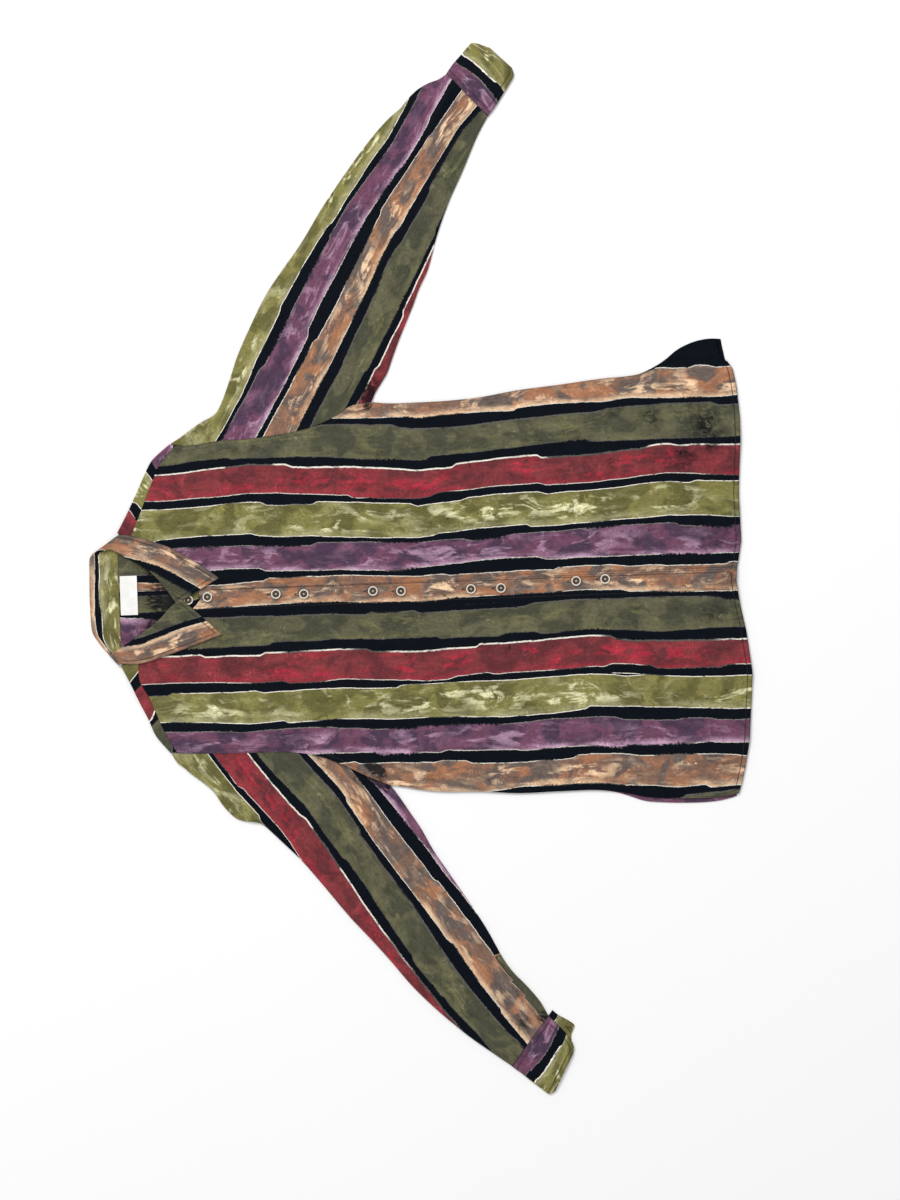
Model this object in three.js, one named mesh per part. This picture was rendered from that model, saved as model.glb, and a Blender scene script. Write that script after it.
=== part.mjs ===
// A loose striped shirt laid flat on a table, front up, collar towards +Y and the wearer's left
// sleeve towards +X. Sizes are millimetres, and z = 0 is the table.
import * as THREE from "three";

// Cloth walls and how they lie on each other
const WALL = 1.2;
const SEAM = 0.3;
const LAYER = WALL + SEAM;
const ON_TABLE = WALL / 2;
const ON_BACK = ON_TABLE + LAYER;

// Loft of the front over the back, and of the sleeves
const FRONT_LOFT = 1.2;
const SLEEVE_LOFT = 2.4;
const CUFF_LOFT = 0.8;
const SIDE_FADE = 24;
const HEM_FADE = 22;

// Where the pieces meet
const NECK_BACK = 360;
const FRONT_EDGE = -7;
const LEFT_FRONT_EDGE = -38;
const LAP_FROM = -62;
const LAP_TO = -46;
const LAP_LIFT = LAYER + 0.1;
const FOLD_ROOM = 1.5;

// How finely the walls are divided
const ARMHOLE_POINTS = 9;
const SLEEVE_RINGS = 20;

// Buttons and neck label
const BUTTON = { radius: 5.7, height: 1.8, rim: 1.2, dish: 0.7, sides: 16 };
const LABEL = { x: -16.3, y: 348.3, width: 47, depth: 21, wall: 0.6, lift: 0.3 };

const COLOURS = {
  back: 0x101a24,
  yoke: 0x7e2f33,
  right: 0x82804a,
  left: 0x6b4560,
  leftSleeve: 0x5a5a42,
  rightSleeve: 0xa0705a,
  cuff: 0x6b4560,
  stand: 0x82804a,
  collar: 0xc08868,
  label: 0xeeeeec,
  button: 0xd8d2c4,
};

// Rows of numbers as objects with named columns.
function table(columns, ...rows) {
  const names = columns.split(" ");
  return rows.map((row) => Object.fromEntries(names.map((name, i) => [name, row[i]])));
}

// Armhole seams from the shoulder down to the armpit
const ARMHOLE_LEFT = table(
  "x y",
  [163.2, 292.5],
  [160.5, 272],
  [163, 250],
  [166, 228],
  [166, 203],
  [169, 172],
  [173, 143],
  [181, 113],
  [191, 92],
  [202, 74],
  [205.5, 50],
);
const ARMHOLE_RIGHT = table(
  "x y",
  [-207, 303.5],
  [-208.5, 275],
  [-209.5, 240],
  [-210, 200],
  [-210.5, 168],
  [-213, 145],
  [-219, 120],
  [-227, 101],
  [-243, 70],
  [-254, 44],
);

// Side edges of the fronts from the armpit down to the hem, and of the back where it shows past them
const SIDE_LEFT = table(
  "x y backX",
  [205.5, 50, 205],
  [203.2, 29, 202.7],
  [203.1, -3, 202.6],
  [204, -45, 203.5],
  [207.3, -85, 206.8],
  [213.3, -124, 212.8],
  [218.5, -177, 218],
  [224, -228, 223.5],
  [226.5, -265, 226],
  [231, -285, 233],
  [239.5, -303, 243],
  [243.5, -320, 256],
  [245, -340, 264.5],
  [244, -358, 267.5],
  [240, -378, 266],
);
const SIDE_RIGHT = table(
  "x y backX",
  [-254, 44, -253.5],
  [-258, 22, -257.5],
  [-261.5, 5, -261],
  [-264.5, -20, -264],
  [-266, -65, -265.5],
  [-269.5, -111, -269],
  [-269, -160, -268.5],
  [-269, -205, -269],
  [-271.5, -228, -272.5],
  [-275, -245, -278],
  [-279, -262, -284],
  [-282, -290, -287],
  [-283, -325, -288.2],
  [-283, -350, -287],
  [-279, -374, -282],
);

// Hems of front and back, from the wearer's right to the left
const HEM = table(
  "x y backY",
  [-281, -374, -372],
  [-272, -377.3, -374],
  [-248, -383.6, -378],
  [-218, -389.6, -383],
  [-165, -394, -388],
  [-135, -396.2, -390],
  [-85, -390.5, -385],
  [-49, -383.6, -379],
  [-25, -380.6, -376],
  [-10, -381.5, -377],
  [1, -384, -379],
  [25, -388.2, -383],
  [80, -387, -382],
  [116, -389.3, -384],
  [145, -391.5, -386],
  [173, -391.5, -386],
  [208, -389, -383],
  [231, -385, -377],
  [240, -378.5, -372],
  [250, -370, -369.5],
  [266, -366.5, -366.5],
);

// The yoke over each shoulder: its folded edge and its front seam, from the armhole to the neck
const SHOULDER_LEFT = table(
  "edgeX edgeY seamX seamY",
  [163.3, 293.5, 161, 287],
  [153, 306.5, 147, 300],
  [141, 318, 135, 308.5],
  [112, 332.5, 106, 321],
  [84, 346.3, 79, 332.5],
  [59, 360, 53.4, 344],
);
const SHOULDER_RIGHT = table(
  "edgeX edgeY seamX seamY",
  [-206.8, 305, -205, 298],
  [-186, 321.8, -180.5, 311.5],
  [-166.5, 330, -161, 319.5],
  [-145, 340.3, -139, 328.5],
  [-123, 350, -118, 339],
  [-100.5, 360.8, -92.5, 339],
);

// The collar, a row for each section from the front edge of the left half round the back to the right.
// roll is the top fold and edge the outer edge of the leaf. stand is how far the stand reaches from the
// roll. turn is 180 where the leaf lies on a front and 0 where it lies behind the neck. lip is how far
// the leaf's cloth comes over the roll. rise lifts the roll, and sink lowers the stand.
const COLLAR = table(
  "rollX rollY edgeX edgeY stand turn lip rise sink",
  [-28, 291, 0.9, 238.9, 30, 180, 4, 0, 2],
  [-19, 297, 12, 253.5, 30, 180, 4, 0, 1],
  [-9, 304, 22.5, 269, 30, 180, 4, 0, 0],
  [2, 312.5, 32, 284, 29, 180, 4, 0, 0],
  [12, 322, 40.5, 299, 27, 180, 4, 0, 0],
  [20, 333, 46.5, 315, 24, 180, 4, 0, 0],
  [27, 345, 51.5, 330, 21, 180, 4, 0, 0],
  [34, 357, 55, 342, 20, 180, 4, 0, 0],
  [39.5, 368, 56.5, 351, 18.5, 180, 4, 0, 0],
  [37, 379, 55, 357, 23, 160, 5, 0, 0],
  [34.5, 384.5, 51.5, 360.5, 27.5, 135, 7, 0, 0],
  [31, 388.4, 49, 362, 29, 90, 8, 0, 0],
  [30.3, 391.3, 48, 363, 31, 45, 9, 0, 0],
  [27.5, 393.6, 45, 357, 36.5, 0, 9.5, 0, 0],
  [12, 394.2, 20, 352, 33.9, 0, 9.5, 0, 0],
  [-12, 394.9, -10, 351, 33.5, 0, 9.5, 0, 0],
  [-36, 394.8, -42, 351, 33.8, 0, 9.5, 0, 0],
  [-58, 393.2, -72, 352, 33.7, 0, 9.5, 0, 0],
  [-70, 386.7, -84, 352, 26.7, 0, 7, 0, 0],
  [-79.5, 379.6, -89.5, 358, 19, 0, 5.5, 0, 0],
  [-82, 375.3, -93, 364.5, 14.5, 45, 5, 0, 0],
  [-84, 372, -94, 363.5, 12, 90, 4, 0, 0],
  [-84.5, 369.8, -95, 361, 12, 135, 4, 0, 0],
  [-83.5, 367, -98, 354.5, 15, 180, 4, 0, 0],
  [-79.5, 360.5, -99, 345, 18, 180, 4, 0, 0],
  [-73, 350, -98, 334, 20, 180, 4, 0, 0],
  [-67, 340, -95.5, 322, 23, 180, 4, 0, 0],
  [-60, 330, -91.5, 310, 26, 180, 4, 0, 0],
  [-52, 318.5, -87.5, 297, 28, 180, 4, 0, 0],
  [-43, 308.5, -83, 284, 30, 180, 4, 0, 0],
  [-35, 301, -78, 269.5, 30, 180, 4, 0.8, 0],
  [-28.5, 293.5, -72.5, 254, 30, 180, 4, 1.6, 0],
  [-22.5, 285, -67, 238, 30, 180, 4, 1.6, 0],
);
const LEFT_NECK_SECTIONS = [6, 5, 4, 3, 2, 1, 0];
const RIGHT_NECK_SECTIONS = [26, 27, 28, 29, 30, 31, 32];
const BACK_NECK_SECTIONS = [13, 14, 15, 16, 17, 18, 19];
const COLLAR_MIDDLE = 16;

// The end of the left stand, which carries the top button, from the collar's edge outwards
const STAND_TAB = table("topX topY seamX seamY z", [-36, 278, -33, 268, 2.8], [-32, 283.5, -24, 264.2, 2.8]);

// Front corners between the neck seam and the front edges
const LEFT_FRONT_CORNER = table("x y", [-24, 263.3], [-33, 263.2], [LEFT_FRONT_EDGE, 261]);
const RIGHT_FRONT_CORNER = table(
  "x y",
  [-42.8, 262.6],
  [-38.6, 267.1],
  [-34.2, 271.8],
  [-29.5, 267],
  [-23, 262],
  [-13, 258.5],
  [-8.5, 252],
);

// Sleeve edges as they lie, from the armhole to the cuff
const SLEEVE_LEFT_OUTER = table(
  "x y",
  [163.6, 293],
  [170, 281.5],
  [178, 270.5],
  [188, 255.3],
  [195, 241],
  [200, 235.5],
  [212, 229],
  [238, 218.7],
  [265, 209],
  [300, 192.3],
  [340, 170.7],
  [370, 149],
  [400, 126.6],
  [440, 101],
  [480, 72],
  [520, 40.5],
  [545, 17],
  [556, 3.3],
  [570, -9],
  [580, -21],
  [586, -33],
  [590, -45],
  [596, -54],
);
const SLEEVE_LEFT_UNDER = table(
  "x y",
  [205.7, 49],
  [216, 44.5],
  [230, 35.4],
  [240, 29.1],
  [260, 21.3],
  [280, 13.2],
  [300, 4.2],
  [320, -4.8],
  [340, -12.9],
  [360, -23.1],
  [380, -29.7],
  [400, -35.5],
  [440, -51],
  [480, -70.5],
  [520, -88.8],
  [543, -102],
);
const SLEEVE_RIGHT_OUTER = table(
  "x y",
  [-207.2, 304],
  [-218, 298],
  [-225, 289],
  [-231, 283],
  [-240, 271.5],
  [-255, 255],
  [-271, 245],
  [-287, 230],
  [-291, 220],
  [-295, 199.5],
  [-307, 186],
  [-320, 173],
  [-341, 152.5],
  [-368, 130.5],
  [-412, 96],
  [-438, 73],
  [-464, 51],
  [-497, 24.6],
  [-530, -7.8],
  [-560, -42],
  [-577, -64.5],
  [-596.5, -91],
);
const SLEEVE_RIGHT_UNDER = table(
  "x y",
  [-254.3, 43],
  [-262, 37],
  [-271, 31],
  [-290, 18.9],
  [-308, 7.5],
  [-334, -6],
  [-359, -21.9],
  [-400, -48.3],
  [-432, -67.5],
  [-469, -86.7],
  [-485, -98],
  [-500, -112],
  [-520, -128],
  [-537, -137],
);

// Cuffs from the seam to the wrist: the folded side, the upper layer's open side, the lower layer's
const CUFF_LEFT = table(
  "foldX foldY openX openY lapX lapY",
  [596, -54, 543, -102, 543.5, -101.5],
  [607, -62, 555, -111.6, 555.5, -111.1],
  [618, -72.3, 568, -120.3, 568.5, -119.8],
  [628, -81.5, 580, -128.3, 580.5, -127.8],
  [631.8, -88, 591, -134.6, 591.5, -134.1],
  [625, -107, 600.5, -132.5, 600.5, -132],
);
const CUFF_RIGHT = table(
  "foldX foldY openX openY lapX lapY",
  [-596.5, -91, -537, -137, -531, -141.9],
  [-606, -103, -547, -146, -537.5, -149.5],
  [-615.5, -114, -556, -154.5, -545, -162],
  [-625, -126, -566, -162, -551, -168],
  [-631.5, -135, -575, -166, -560, -164],
  [-628, -142, -584, -165, -570, -163.5],
);

// Largest soft folds in the fronts and sleeves: where each runs, how wide and how high it is
const FOLDS = table(
  "x y toX toY width height",
  [-135, -400, -128, -210, 26, 1],
  [-205, -395, -222, -160, 18, 0.8],
  [150, -395, 138, -230, 28, 1],
  [60, -395, 72, -260, 18, 0.6],
  [-180, 250, -175, 120, 20, 0.7],
  [-222, 118, -160, 40, 13, 1],
  [178, 128, 120, 60, 14, 0.8],
  [120, 280, 118, 120, 22, 0.6],
  [-292, 206, -232, 214, 12, 1.2],
  [-246, 74, -330, 60, 12, 0.9],
  [212, 62, 330, 60, 12, 0.9],
  [556, 2, 500, 10, 9, 0.9],
  [585, -50, 520, -40, 8, 0.9],
  [-590, -96, -500, -46, 10, 0.8],
);

const BUTTONS = table(
  "x y",
  [-21.4, 254],
  [-20.7, 171.9],
  [-21.8, 138.4],
  [-21.1, 55.5],
  [-22.3, 21.9],
  [-22.8, -62.1],
  [-22.9, -98.1],
  [-17.6, -188.4],
  [-16.4, -223.2],
);
const TOP_BUTTON = { x: -24.2, y: 277.2, z: 2.8 };

const vector = (x, y, z = 0) => new THREE.Vector3(x, y, z);
const mix = THREE.MathUtils.lerp;

// A smooth step from 0 at one value to 1 at another, which may lie either way round.
function ramp(from, to, value) {
  const t = THREE.MathUtils.clamp((value - from) / (to - from), 0, 1);
  return t * t * (3 - 2 * t);
}

// The column wanted at a value of another column, straight between rows.
function lookUp(rows, key, value, wanted) {
  const up = rows[rows.length - 1][key] > rows[0][key];
  const sorted = up ? rows : [...rows].reverse();
  const next = sorted.findIndex((row) => row[key] >= value);
  if (next < 1) return sorted[next < 0 ? sorted.length - 1 : 0][wanted];
  const before = sorted[next - 1];
  const after = sorted[next];
  return mix(before[wanted], after[wanted], (value - before[key]) / (after[key] - before[key]));
}

// Points evenly spaced on a smooth curve through a table's rows.
function spread(rows, count, x = "x", y = "y") {
  const points = rows.map((row) => vector(row[x], row[y]));
  return new THREE.CatmullRomCurve3(points, false, "centripetal").getSpacedPoints(count - 1);
}

// The points of a line moved sideways in plan, to its left for a positive distance.
function moved(points, distance) {
  return points.map((point, i) => {
    const before = points[Math.max(i - 1, 0)];
    const after = points[Math.min(i + 1, points.length - 1)];
    const along = after.clone().sub(before).setZ(0).normalize();
    return point.clone().add(vector(-along.y * distance, along.x * distance));
  });
}

// How far a fold lifts the cloth at a place.
function foldHeight(x, y) {
  return FOLDS.reduce((sum, fold) => {
    const run = new THREE.Line3(vector(fold.x, fold.y), vector(fold.toX, fold.toY));
    const near = run.closestPointToPoint(vector(x, y), true, vector(0, 0));
    const away = near.distanceTo(vector(x, y)) / fold.width;
    return sum + fold.height * Math.exp(-away * away);
  }, 0);
}

// 1 where the collar lifts the fronts, 0 well away from the neck.
function nearNeck(x, y) {
  return ramp(1.75, 1.15, Math.hypot((x + 23) / 78, (y - 325) / 72));
}

// Middle of the front layer's wall, where nothing laps under it.
function leftFrontZ(x, y) {
  const side = lookUp(x > 0 ? SIDE_LEFT : SIDE_RIGHT, "y", y, "x");
  const fromSide = Math.max(ramp(0, SIDE_FADE, Math.abs(side) - Math.abs(x)), ramp(40, 90, y));
  const fromHem = 0.15 + 0.85 * ramp(0, HEM_FADE, y - lookUp(HEM, "x", x, "y"));
  const loft = FRONT_LOFT * fromHem + foldHeight(x, y) * ramp(330, 260, y);
  return ON_BACK + 0.1 + (loft - 0.1) * fromSide + LAYER * nearNeck(x, y);
}

// Middle of the right front's wall, which laps over the left front along the buttons.
function rightFrontZ(x, y) {
  return leftFrontZ(x, y) + LAP_LIFT * ramp(LAP_FROM, LAP_TO, x);
}

// Middle of the yoke's lower layer, lifted where the collar's leaf lies under it.
function yokeZ(x, y) {
  return ON_TABLE + LAYER * ramp(322, 337, y) * ramp(1.75, 1.15, Math.abs(x + 23) / 78);
}

// A closed geometry from vertices and four-sided faces, turned so that its faces point out.
function closed(vertices, quads) {
  const triangles = quads.flatMap(([a, b, c, d]) => [
    [a, b, c],
    [a, c, d],
  ]);
  const volume = triangles.reduce((sum, [a, b, c]) => {
    return sum + vertices[a].dot(vertices[b].clone().cross(vertices[c]));
  }, 0);
  const facing = volume < 0 ? triangles.map(([a, b, c]) => [a, c, b]) : triangles;
  const geometry = new THREE.BufferGeometry().setFromPoints(vertices);
  geometry.setIndex(facing.flat());
  geometry.computeVertexNormals();
  return geometry;
}

// A wall of even thickness whose middle runs through a grid of points. Empty places have no cloth.
function wall(grid, thickness = WALL) {
  const at = (j, i) => (grid[j] && grid[j][i]) || null;
  const span = (before, here, after) => (after || here).clone().sub(before || here);
  const vertices = [];
  const index = grid.map((row, j) =>
    row.map((point, i) => {
      if (!point) return null;
      const along = span(at(j, i - 1), point, at(j, i + 1));
      const across = span(at(j - 1, i), point, at(j + 1, i));
      const half = along.cross(across).setLength(thickness / 2);
      vertices.push(point.clone().add(half), point.clone().sub(half));
      return vertices.length - 2;
    }),
  );
  const cell = (j, i) => at(j, i) && at(j, i + 1) && at(j + 1, i) && at(j + 1, i + 1);
  const quads = [];
  const rim = (p, q) => quads.push([p + 1, q + 1, q, p]);
  for (let j = 0; j < grid.length - 1; j += 1) {
    for (let i = 0; i < grid[j].length - 1; i += 1) {
      if (!cell(j, i)) continue;
      const [a, b, c, d] = [index[j][i], index[j][i + 1], index[j + 1][i + 1], index[j + 1][i]];
      quads.push([a, b, c, d], [a + 1, d + 1, c + 1, b + 1]);
      if (!cell(j - 1, i)) rim(a, b);
      if (!cell(j, i + 1)) rim(b, c);
      if (!cell(j + 1, i)) rim(c, d);
      if (!cell(j, i - 1)) rim(d, a);
    }
  }
  return closed(vertices, quads);
}

// A flattened tube of cloth. Each ring lists the middle of its upper layer from side to side, and its
// lower layer lies on the table.
function tube(rings) {
  const turns = [45, 0, -45].map(THREE.MathUtils.degToRad);
  const loop = (ring, grow) => {
    const last = ring.length - 1;
    const sides = [
      [ring[0], ring[1]],
      [ring[last], ring[last - 1]],
    ].map(([tip, inner]) => {
      const out = tip.clone().sub(inner).setZ(0).normalize();
      const radius = (tip.z - ON_TABLE) / 2;
      const centre = tip.clone().addScaledVector(out, -radius - WALL / 2).setZ(ON_TABLE + radius);
      return { out, radius, centre };
    });
    const plan = ring.map((point, k) => (k === 0 ? sides[0].centre : k === last ? sides[1].centre : point));
    const round = ({ out, radius, centre }, angle) =>
      centre
        .clone()
        .addScaledVector(out, (radius + grow) * Math.cos(angle))
        .setZ(centre.z + (radius + grow) * Math.sin(angle));
    return [
      ...plan.map((point, k) => vector(point.x, point.y, ring[k].z + grow)),
      ...turns.map((angle) => round(sides[1], angle)),
      ...[...plan].reverse().map((point) => vector(point.x, point.y, ON_TABLE - grow)),
      ...[...turns].reverse().map((angle) => round(sides[0], angle)),
    ];
  };
  const outer = rings.map((ring) => loop(ring, WALL / 2));
  const inner = rings.map((ring) => loop(ring, -WALL / 2));
  const size = outer[0].length;
  const lining = outer.length * size;
  const id = (ring, k) => ring * size + (k % size);
  const quads = [];
  const end = rings.length - 1;
  for (let k = 0; k < size; k += 1) {
    for (let r = 0; r < end; r += 1) {
      const [a, b, c, d] = [id(r, k), id(r, k + 1), id(r + 1, k + 1), id(r + 1, k)];
      quads.push([a, b, c, d], [a + lining, d + lining, c + lining, b + lining]);
    }
    quads.push([id(0, k + 1), id(0, k), id(0, k) + lining, id(0, k + 1) + lining]);
    quads.push([id(end, k), id(end, k + 1), id(end, k + 1) + lining, id(end, k) + lining]);
  }
  return closed([...outer.flat(), ...inner.flat()], quads);
}

// A flat patch of points between four edges: bottom and top run from side to side, and the two side
// edges run up. z gives the height at each place.
function patch(bottom, top, first, last, z) {
  return first.map((left, j) => {
    const v = j / (first.length - 1);
    const right = last[j];
    return bottom.map((low, i) => {
      const u = i / (bottom.length - 1);
      const high = top[i];
      const blend = (axis) => {
        const rows = mix(low[axis], high[axis], v) + mix(left[axis], right[axis], u);
        const below = mix(bottom[0][axis], bottom[bottom.length - 1][axis], u);
        const above = mix(top[0][axis], top[top.length - 1][axis], u);
        return rows - mix(below, above, v);
      };
      const [x, y] = [blend("x"), blend("y")];
      return vector(x, y, z(x, y));
    });
  });
}

// A point of the collar: how far it lies from the roll, and 0 on the stand's layer or 1 on the leaf's.
function collarPoint(section, far, layer) {
  const row = COLLAR[section];
  const roll = vector(row.rollX, row.rollY);
  const down = vector(row.edgeX, row.edgeY).sub(roll).normalize();
  const place = roll.addScaledVector(down, far);
  const right = section > COLLAR_MIDDLE;
  const front = right ? rightFrontZ(place.x, place.y) : leftFrontZ(place.x, place.y);
  const inFront = front + LAYER * layer + row.rise * (1 - ramp(0, row.stand, far));
  const behind = ON_BACK - LAYER * layer;
  const turn = THREE.MathUtils.degToRad(row.turn);
  const radius = (inFront - behind) / 2;
  place.x += (right ? -1 : 1) * (radius + FOLD_ROOM * layer) * Math.sin(turn);
  place.z = behind + radius * (1 - Math.cos(turn));
  return place;
}

// How far the stand's seam lies from the roll.
function neckSeam(section) {
  const row = COLLAR[section];
  if (row.turn > 0) return row.stand;
  const length = Math.hypot(row.edgeX - row.rollX, row.edgeY - row.rollY);
  return ((row.rollY - NECK_BACK) * length) / (row.rollY - row.edgeY);
}

// The neck edges of the fronts follow the stand's seam.
function neckEdge(sections) {
  return sections.map((section) => collarPoint(section, neckSeam(section) + SEAM, 0).setZ(0));
}

// The leaf comes over the roll from its lip and runs to its outer edge.
function collarLeaf() {
  const roll = [45, 90, 135].map(THREE.MathUtils.degToRad);
  return wall(
    COLLAR.map((row, section) => {
      const width = Math.hypot(row.edgeX - row.rollX, row.edgeY - row.rollY);
      const bend = LAYER / 2;
      return [
        collarPoint(section, row.lip, 0),
        ...roll.map((angle) => collarPoint(section, bend * (1 - Math.sin(angle)), (1 - Math.cos(angle)) / 2)),
        ...[0.16, 0.44, 0.72, 1].map((part) => collarPoint(section, width * part, 1)),
      ];
    }),
  );
}

// The stand runs from the leaf's lip to the neck seam, with the button's tab at its left end.
function collarStand() {
  const sections = COLLAR.map((row, section) => {
    const seam = neckSeam(section);
    const start = row.lip + SEAM + (row.turn % 180 ? FOLD_ROOM : 0);
    return [0, 0.35, 0.7, 1].map((part) => {
      const far = mix(start, seam, part);
      const point = collarPoint(section, far, 0);
      return point.setZ(point.z - row.sink * (1 - ramp(21, 30, far)));
    });
  });
  const tab = STAND_TAB.map((row) =>
    [0, 0.35, 0.7, 1].map((part) => vector(mix(row.topX, row.seamX, part), mix(row.topY, row.seamY, part), row.z)),
  );
  return wall([...tab, ...sections]);
}

// The yoke lies behind the neck and folds forward over both shoulders to its front seams.
function yoke() {
  const backLeft = armholes.left[1];
  const backRight = armholes.right[1];
  const shoulder = (rows) =>
    rows.map((row) => {
      const out = vector(row.edgeX - row.seamX, row.edgeY - row.seamY).normalize();
      const seam = vector(row.seamX, row.seamY).addScaledVector(out, SEAM / 2);
      seam.setZ(leftFrontZ(seam.x, seam.y));
      const low = yokeZ(row.edgeX, row.edgeY);
      const radius = (seam.z - low) / 2;
      const centre = vector(row.edgeX, row.edgeY).addScaledVector(out, -radius - WALL / 2);
      const fold = [-45, 0, 45, 90].map(THREE.MathUtils.degToRad).map((angle) =>
        centre
          .clone()
          .addScaledVector(out, radius * Math.cos(angle))
          .setZ(low + radius * (1 + Math.sin(angle))),
      );
      return { top: centre.setZ(low), over: [...fold, fold[3].clone().lerp(seam, 0.5), seam] };
    });
  const neck = BACK_NECK_SECTIONS.map((section) => {
    const place = collarPoint(section, neckSeam(section), 0);
    const top = vector(place.x, NECK_BACK - SEAM, ON_BACK);
    return { top, over: Array(6).fill(null) };
  });
  const columns = [...shoulder(SHOULDER_LEFT), ...neck, ...shoulder(SHOULDER_RIGHT).reverse()];
  const [from, to] = [columns[0].top.x, columns[columns.length - 1].top.x];
  const grid = columns.map(({ top, over }) => {
    const part = (top.x - from) / (to - from);
    const seam = backLeft.clone().lerp(backRight, part);
    seam.x += (0.5 - part) * -SEAM * 2;
    seam.y += SEAM / 2;
    const rise = [0, 0.4, 0.6, 0.76].map((t) => {
      const [x, y] = [mix(seam.x, top.x, t), mix(seam.y, top.y, t)];
      return vector(x, y, yokeZ(x, y));
    });
    return [...rise, top, ...over];
  });
  return wall(grid);
}

// The back lies flat on the table, its top edge along the yoke.
function back() {
  const side = (rows, armhole, inward) => {
    const low = rows.map((row) => vector(row.backX, row.y)).reverse();
    const high = moved(armhole.slice(1), inward).reverse();
    return [...low.slice(0, -1), ...high];
  };
  const right = side(SIDE_RIGHT, armholes.right, SEAM / 2);
  const left = side(SIDE_LEFT, armholes.left, -SEAM / 2);
  const columns = 13;
  const line = (from, to, y) =>
    Array.from({ length: columns }, (_, i) => {
      const x = mix(from.x, to.x, i / (columns - 1));
      return vector(x, y(x, i));
    });
  const [topRight, topLeft] = [right[right.length - 1], left[left.length - 1]];
  [topRight, topLeft].forEach((corner) => corner.setY(corner.y - SEAM / 2));
  const top = line(topRight, topLeft, (x, i) => mix(topRight.y, topLeft.y, i / (columns - 1)));
  right[0].y = lookUp(HEM, "x", right[0].x, "backY");
  left[0].y = lookUp(HEM, "x", left[0].x, "backY");
  const hem = line(right[0], left[0], (x) => lookUp(HEM, "x", x, "backY"));
  return wall(patch(hem, top, right, left, () => ON_TABLE));
}

// A front panel from its side seam and armhole to its front edge.
function front(sideRows, armhole, shoulderRows, neckSections, corner, frontEdge, inward, z) {
  const seam = shoulderRows.map((row) => {
    const out = vector(row.edgeX - row.seamX, row.edgeY - row.seamY).normalize();
    return vector(row.seamX, row.seamY).addScaledVector(out, -SEAM / 2);
  });
  const top = [...seam, ...neckEdge(neckSections), ...corner.map(({ x, y }) => vector(x, y))];
  const low = sideRows.map((row) => vector(row.x, row.y)).reverse();
  const high = moved(armhole.slice(1), inward).reverse();
  const side = [...low.slice(0, -1), ...high, seam[0]];
  side[0].y = lookUp(HEM, "x", side[0].x, "y");
  const end = top[top.length - 1];
  const hem = top.map((point) => {
    const x = mix(side[0].x, frontEdge, (point.x - top[0].x) / (end.x - top[0].x));
    return vector(x, lookUp(HEM, "x", x, "y"));
  });
  const foot = hem[hem.length - 1];
  const edge = side.map((_, j) => foot.clone().lerp(end, j / (side.length - 1)));
  return wall(patch(hem, top, side, edge, z));
}

// Rings of a sleeve from the armhole's curve to the straight cuff seam.
function sleeve(armhole, outerRows, underRows, outward) {
  const start = moved(armhole, outward);
  const outer = spread(outerRows, SLEEVE_RINGS);
  const under = spread(underRows, SLEEVE_RINGS);
  const last = start.length - 1;
  outer[0] = start[0];
  under[0] = start[last];
  return tube(
    outer.map((tip, r) => {
      const along = r / (SLEEVE_RINGS - 1);
      const bow = (1 - along) ** 4;
      const loft = mix(SLEEVE_LOFT, CUFF_LOFT, ramp(0.55, 1, along));
      return start.map((seam, k) => {
        const across = k / last;
        const chord = tip.clone().lerp(under[r], across);
        const straight = start[0].clone().lerp(start[last], across);
        const point = chord.addScaledVector(seam.clone().sub(straight), bow);
        const crown = 1 - (2 * across - 1) ** 4;
        const body = ON_BACK + 0.1 + (loft + foldHeight(point.x, point.y)) * crown;
        const join = leftFrontZ(seam.x, seam.y);
        return point.setZ(mix(join, body, ramp(0, 0.16, along)));
      });
    }),
  );
}

// A cuff is one strip: its upper layer, the fold at its side, and its lower layer on the table.
function cuff(rows) {
  const seamDirection = vector(rows[1].foldX - rows[0].foldX, rows[1].foldY - rows[0].foldY).normalize();
  return wall(
    rows.map((row, j) => {
      const shift = seamDirection.clone().multiplyScalar(j === 0 ? SEAM : 0);
      const open = vector(row.openX, row.openY).add(shift);
      const lap = vector(row.lapX, row.lapY).add(shift);
      const fold = vector(row.foldX, row.foldY).add(shift);
      const out = fold.clone().sub(open).normalize();
      const radius = LAYER / 2 + 0.05;
      const centre = fold.clone().addScaledVector(out, -radius - WALL / 2);
      const parts = [0, 0.12, 0.35, 0.6, 0.85];
      const upper = parts.map((part) => {
        const crown = 1 - (2 * part - 1) ** 4;
        return open.clone().lerp(centre, part).setZ(ON_TABLE + 2 * radius + CUFF_LOFT * crown);
      });
      const bend = [90, 45, 0, -45, -90].map(THREE.MathUtils.degToRad).map((angle) =>
        centre
          .clone()
          .addScaledVector(out, radius * Math.cos(angle))
          .setZ(ON_TABLE + radius * (1 + Math.sin(angle))),
      );
      const lower = [...parts].reverse().map((part) => lap.clone().lerp(centre, part).setZ(ON_TABLE));
      return [...upper, ...bend, ...lower];
    }),
  );
}

// A round button with a raised rim and a dished middle.
function button() {
  const { radius, height, rim, dish, sides } = BUTTON;
  const profile = [
    [0, 0],
    [radius - 0.7, 0],
    [radius, 0.7],
    [radius, height - 0.4],
    [radius - 0.5, height],
    [radius - rim, height],
    [radius - rim - 0.8, height - dish],
    [0, height - dish],
  ];
  return new THREE.LatheGeometry(
    profile.map(([x, y]) => new THREE.Vector2(x, y)),
    sides,
  ).rotateX(Math.PI / 2);
}

// Highest point of the right front's surface under a button.
function seat(x, y) {
  const around = Array.from({ length: 12 }, (_, k) => (k * Math.PI) / 6);
  const heights = around.map((angle) =>
    rightFrontZ(x + BUTTON.radius * Math.cos(angle), y + BUTTON.radius * Math.sin(angle)),
  );
  return Math.max(rightFrontZ(x, y), ...heights) + WALL / 2;
}

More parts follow.
